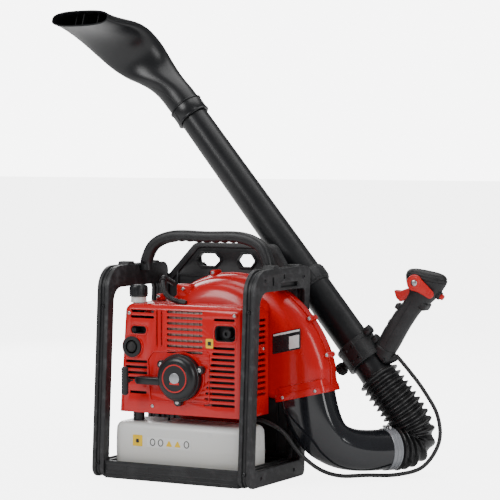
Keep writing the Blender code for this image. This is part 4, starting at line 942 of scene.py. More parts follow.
class BLOWER_OT_base_tray(bpy.types.Operator):
    """Makes the tray under the tank, with lengthwise bands on its front."""
    bl_idname = "blower.base_tray"
    bl_label = "Base Tray"

    def execute(self, context):
        low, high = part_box("base_tray")
        tray = node_mesh("base_tray")
        tray = rounded(tray, 0.0018, 3)
        bands = [block((low.x + 0.001, y - 0.0012, z), (high.x - 0.001, y + 0.0022, z + tall),
                       0.0009) for y, z, tall in
                 ((low.y + 0.0002, 0.0265, 0.0085), (low.y + 0.0002, 0.0015, 0.007),
                  (low.y + 0.0004, 0.014, 0.003))]
        ribs = [block((x - 0.0012, low.y - 0.0004, 0.004), (x + 0.0012, low.y + 0.002, 0.03),
                      0.0006) for x in (-0.105, -0.0525, 0.0, 0.0525, 0.105)]
        piece("base_tray_body", joined("tray", [tray, *bands, *ribs]), "frame_black", "frame",
              ("base_tray",))
        return {"FINISHED"}


PANEL_HOLES = ((-0.052, 0.438, 0.06, 0.026), (0.039, 0.438, 0.044, 0.026))


class BLOWER_OT_back_panel(bpy.types.Operator):
    """Makes the upright panel with its lightening holes, lips and stiffening ribs."""
    bl_idname = "blower.back_panel"
    bl_label = "Back Panel"

    def execute(self, context):
        low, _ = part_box("back_panel")
        x = INNER_X

        def outline(inset):
            return rounded_loop(
                [(-x + inset, low.z + inset), (x - inset, low.z + inset),
                 (x - inset, 0.395 - inset), (0.105 - inset, 0.474 - inset),
                 (-0.085 + inset, 0.474 - inset), (-x + inset, 0.395 - inset)],
                [0.004, 0.004, 0.01, 0.02, 0.02, 0.01], 6)

        def hexagon(hole, grow=0.0):
            hx, hz, width, height = hole
            w, h = width / 2 + grow, height / 2 + grow
            return rounded_loop([(hx - w, hz), (hx - w * 0.55, hz - h), (hx + w * 0.55, hz - h),
                                 (hx + w, hz), (hx + w * 0.55, hz + h), (hx - w * 0.55, hz + h)],
                                0.004, 4)

        holes = [hexagon(h) for h in PANEL_HOLES]
        core = plate([outline(0.001), *holes], -0.1125, -0.1055, 0.0008, FACING, 1)
        rim = plate([outline(0.0), outline(0.01)], -0.118, -0.102, 0.0014, FACING)
        lips = [plate([hexagon(h, 0.0045), hexagon(h)], -0.118, -0.102, 0.001, FACING)
                for h in PANEL_HOLES]
        ribs = []
        for rx in (-0.125, -0.05, 0.04, 0.125):
            ribs.append(block((rx - 0.002, 0.102, 0.044), (rx + 0.002, 0.1175, 0.412), 0.0008))
        for rz in (0.09, 0.2, 0.3, 0.405):
            wide = x - 0.006
            ribs.append(block((-wide, 0.1022, rz - 0.002), (wide, 0.1175, rz + 0.002), 0.0008))
        mesh = joined("panel", [core, rim, *lips, *ribs])
        for vert in mesh.vertices:
            vert.co.y += LEAN * vert.co.z
        piece("back_panel_body", mesh, "frame_black", "frame", ("back_panel",))
        return {"FINISHED"}


class BLOWER_OT_carry_handle(bpy.types.Operator):
    """Makes the arched carry handle with finger waves under its grip and bolted feet."""
    bl_idname = "blower.carry_handle"
    bl_label = "Carry Handle"

    def execute(self, context):
        low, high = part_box("carry_handle")
        bar = 0.0125
        foot = high.x - bar - 0.0002
        top = high.z - bar
        flat = 0.08
        route = [(-foot, low.z + 0.0005), (-foot, 0.442), (-0.125, 0.474), (-flat, top),
                 (0, top), (flat, top), (0.125, 0.474), (foot, 0.442), (foot, low.z + 0.0005)]
        plane = 0.034 - LEAN * 0.42 + 0.0
        path = through([Vector((x, leaned(plane, z), z)) for x, z in route], 16)
        rings = []
        for point, side, up in path_frames(path, Vector((0, 1, 0))):
            drop = 0.0
            if abs(point.x) < flat and point.z > 0.47:
                fade = min(1.0, (flat - abs(point.x)) / 0.012)
                drop = 0.0022 * (0.5 - 0.5 * math.cos(point.x / 0.0205 * 2 * math.pi)) * fade
            ring = section((point, side, up), bar - 0.0002, bar - 0.0002, 2.6, 36)
            for co in ring:
                if co.z < point.z - bar * 0.2 and drop:
                    co.z += drop * min(1.0, (point.z - co.z) / bar)
            rings.append(ring)
        handle = loft(rings)
        piece("carry_handle_bar", handle, "frame_black", "frame", ("carry_handle",),
              50)
        seam = []
        for side in (-1, 1):
            line = [p + Vector((0, side * (bar - 0.0001), 0)) for p in path[6:-6]]
            seam.append(cord_mesh(line, 0.0005, 6, (0, 1, 0)))
        piece("carry_handle_seams", joined("seams", seam), "frame_ridge", "frame", ())
        places = [((side * foot, leaned(plane, 0.436) - bar * 0.98, 0.436), (0, -1, 0))
                  for side in (-1, 1)]
        piece("carry_handle_screws", scattered(screw_head(0.0045, 0.0022), places, "bolt_black"),
              "bolt_black", "frame", ())
        return {"FINISHED"}


# ---------------------------------------------------------------- engine cover and starter
COVER_LEFT, COVER_RIGHT, COVER_FRONT, COVER_BACK = 0.144, 0.15, 0.082, 0.026
COVER_BOTTOM, COVER_TOP, COVER_TAPER, COVER_WALL = 0.135, 0.357, 0.015, 0.0028
CRANK_X, CRANK_Z = 0.01, 0.212
CHOKE, PRIMER, WINDOW = (-0.092, 0.304), (-0.107, 0.269), (0.11, 0.304)
FILLER = (-0.112, -0.05)
SLOT_PITCH = 0.0115


def crank(y):
    """A point on the crankshaft's axis."""
    return Vector((CRANK_X, y, CRANK_Z))


def cover_shell(grow, corner):
    """The cover's outer shape, or its hollow when grow is negative."""
    drop = 0.012 if grow < 0 else 0.0
    bm = bmesh.new()
    bmesh.ops.create_cube(bm, size=1.0)
    low = (-COVER_LEFT - grow, -COVER_FRONT - grow, COVER_BOTTOM - drop)
    high = (COVER_RIGHT + grow, COVER_BACK + drop, COVER_TOP + grow)
    for vert in bm.verts:
        for k in range(3):
            vert.co[k] = low[k] if vert.co[k] < 0 else high[k]
        if vert.co.x < 0:
            vert.co.x += COVER_TAPER * (vert.co.z - COVER_BOTTOM) / (COVER_TOP - COVER_BOTTOM)
    front_top = [e for e in bm.edges if not all(v.co.z < COVER_BOTTOM + 0.001 for v in e.verts)
                 and not all(v.co.y > COVER_BACK - 0.001 for v in e.verts)]
    bmesh.ops.bevel(bm, geom=front_top, offset=corner + grow, segments=7, profile=0.5,
                    affect="EDGES", clamp_overlap=True)
    mesh = bpy.data.meshes.new("shell")
    bm.to_mesh(mesh)
    bm.free()
    return mesh


def slot_columns():
    """Each column of front slots: left, right, top of the first, how many, end widening."""
    return ((-0.026, 0.058, 0.346, 8, 0.0), (-0.112, -0.056, 0.345, 2, 0.0),
            (-0.124, -0.072, 0.242, 4, 0.0), (-0.114, -0.074, 0.179, 1, 0.0),
            (0.084, 0.132, 0.334, 1, 0.0), (0.082, 0.132, 0.277, 11, -0.0022))


def slot_cutters(height):
    """Rounded bars that cut the cover's cooling slots, front and side."""
    bars = []
    for left, right, top, count, widen in slot_columns():
        for i in range(count):
            z = top - i * SLOT_PITCH - height / 2
            outline = rectangle(left + widen * i, z - height / 2, right, z + height / 2,
                                height * 0.42, 3)
            bars.append(plate([outline], COVER_FRONT - 0.012, COVER_FRONT + 0.012, 0.0, FACING))
    for i in range(14):
        z = 0.33 - i * SLOT_PITCH - height / 2
        if i == 5:
            continue
        outline = rectangle(-0.05, z - height / 2, 0.014, z + height / 2, height * 0.42, 3)
        bars.append(plate([outline], COVER_RIGHT - 0.012, COVER_RIGHT + 0.012, 0.0, ACROSS))
    return joined("bars", bars)


class BLOWER_OT_engine_cover(bpy.types.Operator):
    """Makes the red engine cover with its slots, dial recess, sockets and ribbed strip."""
    bl_idname = "blower.engine_cover"
    bl_label = "Engine Cover"

    def execute(self, context):
        sizes = context.scene.blower_sizes
        shell = cut(cover_shell(0.0, sizes.cover_corner),
                    cover_shell(-COVER_WALL, sizes.cover_corner))
        shell = cut(shell, slot_cutters(sizes.slot_height))
        near, far = COVER_FRONT - 0.014, COVER_FRONT + 0.01
        choke = rectangle(CHOKE[0] - 0.018, CHOKE[1] - 0.008, CHOKE[0] + 0.018,
                          CHOKE[1] + 0.008, 0.0075, 6)
        window = rectangle(WINDOW[0] - 0.024, WINDOW[1] - 0.016, WINDOW[0] + 0.024,
                           WINDOW[1] + 0.016, 0.0095, 6)
        shell = cut(shell, plate([choke], near, far, 0.0, FACING))
        shell = cut(shell, plate([window], near, far, 0.0, FACING))
        for radius, spot in ((0.0217, PRIMER), (0.038, (CRANK_X, CRANK_Z))):
            shell = cut(shell, rod(radius, (spot[0], -far, spot[1]), (spot[0], -near, spot[1])))
        shell = cut(shell, block((FILLER[0] - 0.0168, FILLER[1] - 0.0168, COVER_TOP - 0.01),
                                 (FILLER[0] + 0.0168, FILLER[1] + 0.0168, COVER_TOP + 0.01)))
        shell = rounded(shell, sizes.slot_edge, 2, 50)
        piece("engine_cover_shell", shell, "shell_red", "frame", ("engine_cover",),
              30)
        self.raised_work()
        self.recesses()
        return {"FINISHED"}

    @staticmethod
    def raised_work():
        """Panel lines, bezels, the ribbed strip, bosses and screws on the cover."""
        y = COVER_FRONT
        outline = [(-0.072, 0.246), (-0.06, 0.262), (0.066, 0.27), (0.074, 0.262),
                   (0.074, 0.16), (-0.066, 0.16)]
        outer = rounded_loop(outline, 0.007, 6)
        inner = rounded_loop([(u * 0.968 + 0.0005, (v - 0.213) * 0.955 + 0.213)
                              for u, v in outline], 0.006, 6)
        work = [plate([outer, inner], y - 0.001, y + 0.0016, 0.0008, FACING)]
        for spot, wide, tall, grow, radius in ((CHOKE, 0.018, 0.008, 0.0028, 0.01),
                                               (WINDOW, 0.024, 0.016, 0.003, 0.012)):
            ring = [rectangle(spot[0] - wide - g, spot[1] - tall - g, spot[0] + wide + g,
                              spot[1] + tall + g, radius - 0.0025 + g * 0.8, 6)
                    for g in (grow, 0.0)]
            work.append(plate(ring, y - 0.002, y + 0.0015, 0.0007, FACING))
        for radius, spot in ((0.0245, PRIMER), (0.0515, (CRANK_X, CRANK_Z))):
            inner_radius = 0.0214 if radius < 0.03 else 0.047
            profile = [(inner_radius, 0.0018), (radius - 0.001, 0.0018), (radius, 0.0008),
                       (radius, -0.001), (inner_radius, -0.001)]
            work.append(turned(profile, (spot[0], -y, spot[1]), (0, -1, 0), 56))
        diamond = [(0.0, 0.009), (0.012, 0.0), (0.0, -0.009), (-0.012, 0.0)]
        work.append(plate([rounded_loop([(0.0 + u, 0.27 + v) for u, v in diamond], 0.002)],
                          COVER_RIGHT - 0.001, COVER_RIGHT + 0.003, 0.001, ACROSS))
        for spot in ((-0.114, 0.346), (0.132, 0.349)):
            work.append(rod(0.006, (spot[0], -y + 0.003, spot[1] - 0.008),
                            (spot[0], -y - 0.0018, spot[1] - 0.008), 0.0012, 24))
        piece("engine_cover_panel_lines", joined("work", work), "shell_red", "frame", (),
              30)
        rib = block((-0.005, -0.0008, 0), (0.005, 0.0008, 0.0016), 0.0005, 1)
        places = [((x, -y + 0.0002, z), (0, -1, 0)) for x in (-0.049, -0.038)
                  for z in [0.276 + 0.0032 * i for i in range(22)]]
        rib.transform(Matrix.Rotation(math.pi / 2, 4, "Z"))
        piece("engine_cover_rib_strip", scattered(rib, places, "shell_red"), "shell_red",
              "frame", ())
        screws = [((-0.114, -y - 0.0018, 0.338), (0, -1, 0)), ((0.132, -y - 0.0018, 0.341),
                                                                (0, -1, 0)),
                  ((COVER_RIGHT + 0.0002, -0.04, 0.152), (1, 0, 0)),
                  ((COVER_RIGHT + 0.0028, 0.0, 0.27), (1, 0, 0)),
                  ((-0.06, -y - 0.0002, 0.15), (0, -1, 0))]
        piece("engine_cover_screws", scattered(screw_head(0.0038, 0.002), screws, "steel", 1.0,
                                               3.0, 7), "steel", "frame", ())

    @staticmethod
    def recesses():
        """Painted shade in dark sheets that line the window recesses and sit behind two slot
        columns; the socket in the right window; a heat shield.
        """
        y = -COVER_FRONT
        # Painted shade: the recess walls and floors are dark sheets that stand for the shade inside
        # the windows.
        dark_recess_sheets = []
        for spot, wide, tall in ((CHOKE, 0.0178, 0.0078), (WINDOW, 0.0238, 0.0158)):
            ring = [rectangle(spot[0] - wide - g, spot[1] - tall - g, spot[0] + wide + g,
                              spot[1] + tall + g, 0.007 + g, 5) for g in (0.0, -0.0015)]
            dark_recess_sheets.append(plate(ring, -y - 0.016, -y - 0.0008, 0.0004, FACING))
            back = rectangle(spot[0] - wide, spot[1] - tall, spot[0] + wide, spot[1] + tall,
                             0.007, 5)
            dark_recess_sheets.append(plate([back], -y - 0.0185, -y - 0.016, 0.0004, FACING))
        piece("engine_cover_linings", joined("dark_recess_sheets", dark_recess_sheets), "soft_rubber", "frame", ())
        socket = [turned([(0.0042, 0.0005), (0.0085, 0.0005), (0.0098, -0.001),
                          (0.0098, -0.014), (0.0042, -0.014)], (WINDOW[0] + 0.003, y, WINDOW[1]),
                         (0, -1, 0), 36),
                  rod(0.0044, (WINDOW[0] + 0.003, y + 0.014, WINDOW[1]),
                      (WINDOW[0] + 0.003, y + 0.0035, WINDOW[1]), 0.0008, 24)]
        piece("exhaust_socket", joined("socket", socket), "tube_black", "frame", ())
        shield = [block((-0.032, y + 0.0075, 0.252), (0.064, y + 0.009, 0.35), 0.0006)]
        shield += [block((x - 0.0016, y + 0.0052, 0.256), (x + 0.0016, y + 0.0078, 0.346),
                         0.0007) for x in (-0.024, -0.01, 0.004, 0.018, 0.032, 0.046)]
        piece("heat_shield", joined("shield", shield), "exhaust_steel", "frame", ())
        # Painted shade: dark sheets just behind the right and left columns of cooling slots, so
        # those slots look dark inside.
        right_slot_shade = block((0.072, y + 0.013, 0.15), (0.14, y + 0.0145, 0.284), 0.0006)
        left_slot_shade = block((-0.128, y + 0.013, 0.17), (-0.068, y + 0.0145, 0.246), 0.0006)
        piece("cooling_baffles", joined("slot_shade_sheets", [right_slot_shade, left_slot_shade]), "soft_rubber",
              "frame", ())


class BLOWER_OT_fan_shroud(bpy.types.Operator):
    """Makes the red dome that joins the cover to the fan housing, with lugs and screws."""
    bl_idname = "blower.fan_shroud"
    bl_label = "Fan Shroud"

    def execute(self, context):
        profile = [(0.0, 0.0385), (0.06, 0.038), (0.1, 0.0365), (0.124, 0.0335),
                   (0.138, 0.029), (0.1475, 0.0225), (0.154, 0.014), (0.1585, 0.006),
                   (0.161, 0.0), (0.158, 0.0), (0.0, 0.0)]
        mesh = turned(profile, (0, 0, 0), (0, 0, 1), 128, (1, 0, 0))
        mesh.transform(Matrix.Diagonal((0.95, 0.955, 1.0, 1.0)))
        mesh.transform(Matrix.Translation((CRANK_X + 0.028, 0.0282, CRANK_Z + 0.04)) @ Matrix(
            ((1, 0, 0, 0), (0, 0, -1, 0), (0, 1, 0, 0), (0, 0, 0, 1))))
        mesh = cut(mesh, block((-0.3, -0.2, -0.1), (0.4, 0.2, 0.3425)))
        mesh = cut(mesh, block((0.1495, -0.2, 0.0), (0.4, 0.2, 0.5)))
        parts = [mesh]
        for x, wide, tall in ((-0.038, 0.034, 0.022), (-0.098, 0.012, 0.0)):
            z = 0.372
            parts.append(block((x - wide / 2, 0.004, z - 0.014), (x + wide / 2, 0.027,
                                                                  z + tall), 0.004, 3))
        piece("fan_shroud", joined("shroud", parts), "shell_red", "frame", (), 40)
        places = [((-0.038, 0.0038, 0.384), (0, -1, 0)), ((-0.098, 0.0038, 0.366), (0, -1, 0))]
        piece("fan_shroud_screws", scattered(screw_head(0.0042, 0.0022), places, "steel"),
              "steel", "frame", ())
        return {"FINISHED"}


class BLOWER_OT_recoil_starter(bpy.types.Operator):
    """Makes the starter housing with stepped disc, vents, lugs, screws and rope arm."""
    bl_idname = "blower.recoil_starter"
    bl_label = "Recoil Starter"

    def execute(self, context):
        back, front = -0.0823, -0.113
        depth = back - front
        profile = [(0, depth), (0.029, depth), (0.0302, depth - 0.001), (0.0306, depth - 0.002),
                   (0.0345, depth - 0.002), (0.04, depth - 0.0042), (0.0438, depth - 0.0085),
                   (0.0452, depth - 0.013), (0.0455, depth - 0.014), (0.047, depth - 0.014),
                   (0.0478, depth - 0.015), (0.0478, depth - 0.02), (0.0468, depth - 0.021),
                   (0.046, depth - 0.0215), (0.046, 0), (0.043, 0), (0.0425, depth - 0.014),
                   (0.038, depth - 0.006), (0.033, depth - 0.004), (0, depth - 0.004)]
        parts = [turned(profile, crank(back), (0, -1, 0), 72, (1, 0, 0))]
        spots = []
        for turn in (20, 150, 265):
            angle = math.radians(turn)
            out = Vector((math.cos(angle), 0, math.sin(angle)))
            lug = crank(0) + out * 0.05
            parts.append(rod(0.0085, (lug.x, back, lug.z), (lug.x, back - 0.012, lug.z), 0.0012))
            web = block((-0.006, -0.009, 0.03), (0.006, 0.0, 0.05), 0.001)
            web.transform(Matrix.Translation(crank(back)) @ Matrix.Rotation(
                math.pi / 2 - angle, 4, "Y"))
            parts.append(web)
            spots.append(((lug.x, back - 0.012, lug.z), (0, -1, 0)))
        arm = block((-0.0855, -0.1058, 0.1955), (-0.03, back, 0.2105), 0.0022, 3)
        eye = turned([(0.003, 0.002), (0.0062, 0.002), (0.0074, 0.0005), (0.0074, -0.006),
                      (0.003, -0.006)], (-0.0862, -0.0985, 0.203), (-0.35, -0.94, 0), 28)
        parts += [arm, eye]
        piece("starter_shell", joined("starter", parts), "tube_black", "frame",
              ("starter_housing",), 34)
        fin = block((-0.0008, -0.0032, -0.0009), (0.0008, 0.0032, 0.001), 0.0003, 1)
        places = []
        for k in range(48):
            angle = 2 * math.pi * k / 48
            out = Vector((math.cos(angle), 0, math.sin(angle)))
            places.append((crank(back - 0.0125) + out * 0.0474, out))
        rim = scattered(fin, places, "tube_black")
        piece("starter_rim_ribs", rim, "tube_black", "frame", ())
        piece("starter_screws", scattered(screw_head(0.0048, 0.0024), spots, "steel", 1.0, 3.0,
                                          9), "steel", "frame", ())
        ring = turned([(0.0262, 0.0004), (0.0285, 0.0004), (0.0285, -0.0004), (0.0262, -0.0004)],
                      crank(front - 0.0001), (0, -1, 0), 72)
        bars = [block((CRANK_X - 0.011, front - 0.0006, CRANK_Z - 0.0125),
                      (CRANK_X + 0.011, front + 0.0004, CRANK_Z - 0.0085), 0.0003)]
        piece("starter_disc_ring", joined("ring", [ring, *bars]), "control_red", "frame", ())
        centre = turned([(0, 0.0007), (0.01, 0.0007), (0.0112, 0.0003), (0.0112, -0.0005),
                         (0, -0.0005)], crank(front), (0, -1, 0), 48)
        piece("starter_disc_boss", centre, "sticker_silver", "frame", ())
        return {"FINISHED"}


class BLOWER_OT_pull_grip(bpy.types.Operator):
    """Makes the ribbed T-grip and the short rope that it hangs on."""
    bl_idname = "blower.pull_grip"
    bl_label = "Pull Grip"

    def execute(self, context):
        eyelet = Vector((-0.086, -0.101, 0.203))
        pull = Vector((-0.35, -0.94, 0.0)).normalized()
        base = eyelet + Vector((-0.008, -0.005, 0.0))
        centre = base + pull * 0.018
        half = 0.029
        steps = 44
        path = [centre + Vector((0, 0, half * (2 * i / steps - 1))) for i in range(steps + 1)]
        rings = []
        for i, place in enumerate(path_frames(path, pull)):
            share = abs(2 * i / steps - 1)
            end = math.sqrt(max(0.0, 1 - max(0.0, (share - 0.86) / 0.15) ** 2))
            ribs = 0.0005 * math.cos(i / steps * 2 * math.pi * 11)
            radius = (0.0069 + ribs) * max(end, 0.25)
            rings.append(section(place, radius * 0.98, radius * 1.02, 2.2, 28))
        stem = cord_mesh([base + pull * t for t in (0.006, 0.009, 0.013, 0.018)],
                         [0.004, 0.005, 0.0055, 0.006], 24)
        piece("pull_grip_body", joined("grip", [loft(rings), stem]), "grip_black", "pull_grip",
              ("starter_grip",), 55)
        line = [base + pull * (-0.0015 + 0.0085 * i / 8) for i in range(9)]
        rope = piece("pull_rope", cord_mesh(line, 0.0018, 12), "rope", None)
        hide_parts("starter_rope")
        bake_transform(rope)
        return {"FINISHED"}


# ---------------------------------------------------------------- tank and filler
class BLOWER_OT_fuel_tank(bpy.types.Operator):
    """Makes the blow-moulded tank with its parting seam and blank stickers."""
    bl_idname = "blower.fuel_tank"
    bl_label = "Fuel Tank"

    def execute(self, context):
        low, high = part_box("fuel_tank")
        rings = []
        for share in [0.0, 0.012, 0.04, 0.1, 0.2, 0.32, 0.5, 0.68, 0.8, 0.9, 0.96, 0.988, 1.0]:
            z = low.z + (high.z - low.z - 0.0004) * share
            edge = min(share, 1 - share)
            pull = 0.011 * (1 - math.sqrt(max(0.0, 1 - (1 - min(1.0, edge / 0.14)) ** 2)))
            bulge = 0.0012 * math.sin(math.pi * share)
            half_x = (high.x - low.x) / 2 - pull - 0.0012 + bulge
            half_y = (high.y - low.y) / 2 - pull - 0.0012 + bulge
            place = (Vector(((low.x + high.x) / 2, (low.y + high.y) / 2, z)),
                     Vector((1, 0, 0)), Vector((0, 1, 0)))
            rings.append(section(place, half_x, half_y, 12.0, 96))
        tank = loft(rings)
        piece("fuel_tank_body", tank, "tank_white", "frame", ("fuel_tank",), 60)
        seam_z = low.z + (high.z - low.z - 0.0004) * 0.52
        place = (Vector(((low.x + high.x) / 2, (low.y + high.y) / 2, seam_z)),
                 Vector((1, 0, 0)), Vector((0, 1, 0)))
        line = section(place, (high.x - low.x) / 2 - 0.0001, (high.y - low.y) / 2 - 0.0001,
                       12.0, 96)
        line.append(line[0])
        piece("fuel_tank_seam", cord_mesh(line, 0.0005, 6), "tank_white", "frame", (),
              60)
        front = low.y
        self.sticker("tank_sticker_yellow", -0.092, 0.078, 0.0115, 0.0115, front,
                     "sticker_yellow")
        self.sticker("tank_sticker_strip", -0.018, 0.0765, 0.0515, 0.011, front,
                     "sticker_white")
        shapes = []
        for k, x in enumerate((-0.056, -0.037, 0.024)):
            hole = [(x + 0.0046 * math.cos(a), 0.0765 + 0.0058 * math.sin(a))
                    for a in [2 * math.pi * i / 24 for i in range(24)]]
            edge = [(x + 0.0062 * math.cos(a), 0.0765 + 0.0075 * math.sin(a))
                    for a in [2 * math.pi * i / 24 for i in range(24)]]
            shapes.append(plate([edge, hole], -front + 0.0004, -front + 0.0009, 0.0, FACING))
        piece("tank_sticker_rings", joined("rings", shapes), "sticker_dark", "frame", ())
        marks = [plate([rounded_loop([(x - 0.0075, 0.07), (x + 0.0075, 0.07), (x, 0.083)],
                                     0.0012, 3)], -front + 0.0004, -front + 0.0009, 0.0, FACING)
                 for x in (-0.017, 0.003)]
        piece("tank_sticker_marks", joined("marks", marks), "sticker_yellow", "frame", ())
        dot = plate([rectangle(-0.0955, 0.0735, -0.0885, 0.0815, 0.002)], -front + 0.0004,
                    -front + 0.0009, 0.0, FACING)
        cover_dot = plate([rectangle(0.07, 0.279, 0.078, 0.287, 0.0016)], 0.0824, 0.0829,
                          0.0, FACING)
        piece("sticker_dots", joined("dots", [dot, cover_dot]), "sticker_dark", "frame", ())
        self.sticker("cover_sticker", 0.074, 0.283, 0.0085, 0.0095, -COVER_FRONT,
                     "sticker_yellow")
        return {"FINISHED"}

    @staticmethod
    def sticker(name, x, z, wide, tall, front, finish):
        """One thin blank sticker on a front face."""
        outline = rectangle(x - wide, z - tall, x + wide, z + tall, 0.002, 5)
        piece(name, plate([outline], -front - 0.0002, -front + 0.0004, 0.0001, FACING), finish,
              "frame", ())


class BLOWER_OT_fuel_cap(bpy.types.Operator):
    """Makes the ribbed fuel cap and the white neck under it."""
    bl_idname = "blower.fuel_cap"
    bl_label = "Fuel Cap"

    def execute(self, context):
        low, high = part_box("fuel_cap")
        base = Vector((FILLER[0], FILLER[1], low.z))
        tall = high.z - low.z
        profile = [(0, tall), (0.0125, tall), (0.0136, tall - 0.0006), (0.014, tall - 0.0014),
                   (0.0166, tall - 0.0014), (0.018, tall - 0.003), (0.0184, tall - 0.005),
                   (0.0184, 0.003), (0.0192, 0.0022), (0.0192, 0.0004), (0.0188, 0), (0, 0)]
        piece("fuel_cap_body", turned(profile, base, (0, 0, 1), 64), "tube_black", "fuel_cap",
              ("fuel_cap",), 34)
        places = []
        for k in range(20):
            angle = 2 * math.pi * k / 20
            out = Vector((math.cos(angle), math.sin(angle), 0))
            places.append((base + out * 0.0182 + Vector((0, 0, tall / 2 - 0.0005)), out))
        ribs = []
        for spot, out in places:
            bar = block((-0.0011, -0.0009, -(tall - 0.009) / 2), (0.0011, 0.0011,
                                                                    (tall - 0.009) / 2), 0.0006)
            bar.transform(axis_frame(spot, (0, 0, 1), out.cross(Vector((0, 0, 1)))))
            ribs.append(bar)
        piece("fuel_cap_ribs", joined("ribs", ribs), "tube_black", "fuel_cap", ())
        neck_low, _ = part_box("filler_neck")
        neck = turned([(0.0118, 0.012), (0.016, 0.012), (0.016, 0.004), (0.0164, 0.0034),
                       (0.0164, 0), (0.0118, 0)], (FILLER[0], FILLER[1], neck_low.z), (0, 0, 1),
                      48)
        piece("filler_neck_ring", neck, "tank_white", "frame", ("filler_neck",))
        return {"FINISHED"}


# ---------------------------------------------------------------- fan housing
OUTLET_TILT = math.radians(13.3)
OUTLET_CENTRE = (0.219, 0.173)
OUTLET_WIDTH = 0.1126
HOUSING_FRONT, HOUSING_SPLIT, HOUSING_BACK = 0.0283, 0.066, 0.104


def rim_point(offset, out):
    """A point near the outlet's rim, in X and Z: across the outlet, and out of it."""
    along = Vector((math.cos(OUTLET_TILT), math.sin(OUTLET_TILT)))
    outward = Vector((math.sin(OUTLET_TILT), -math.cos(OUTLET_TILT)))
    return Vector(OUTLET_CENTRE) + along * offset + outward * out


def scroll_radius(share):
    """The fan housing's radius along its spiral."""
    return 0.112 + 0.15 * share ** 1.8


def scroll_ring(inset, y, count=120):
    """One closed ring of the spiral at a depth, moved inwards by inset."""
    points = []
    for i in range(count + 1):
        share = i / count
        angle = math.radians(-22) - math.radians(333) * share
        radius = scroll_radius(share) - inset
        points.append(Vector((CRANK_X + radius * math.cos(angle), y,
                              CRANK_Z + radius * math.sin(angle))))
    last = points[-1]
    end = rim_point(OUTLET_WIDTH / 2 - inset, 0)
    points += [last.lerp(Vector((end.x, y, end.y)), t / 8) for t in range(1, 9)]
    start = rim_point(inset - OUTLET_WIDTH / 2, 0)
    tail = Vector((start.x, y, start.y))
    points += [Vector((end.x, y, end.y)).lerp(tail, t / 10) for t in range(1, 11)]
    points += [tail.lerp(points[0], t / 8) for t in range(1, 8)]
    return points


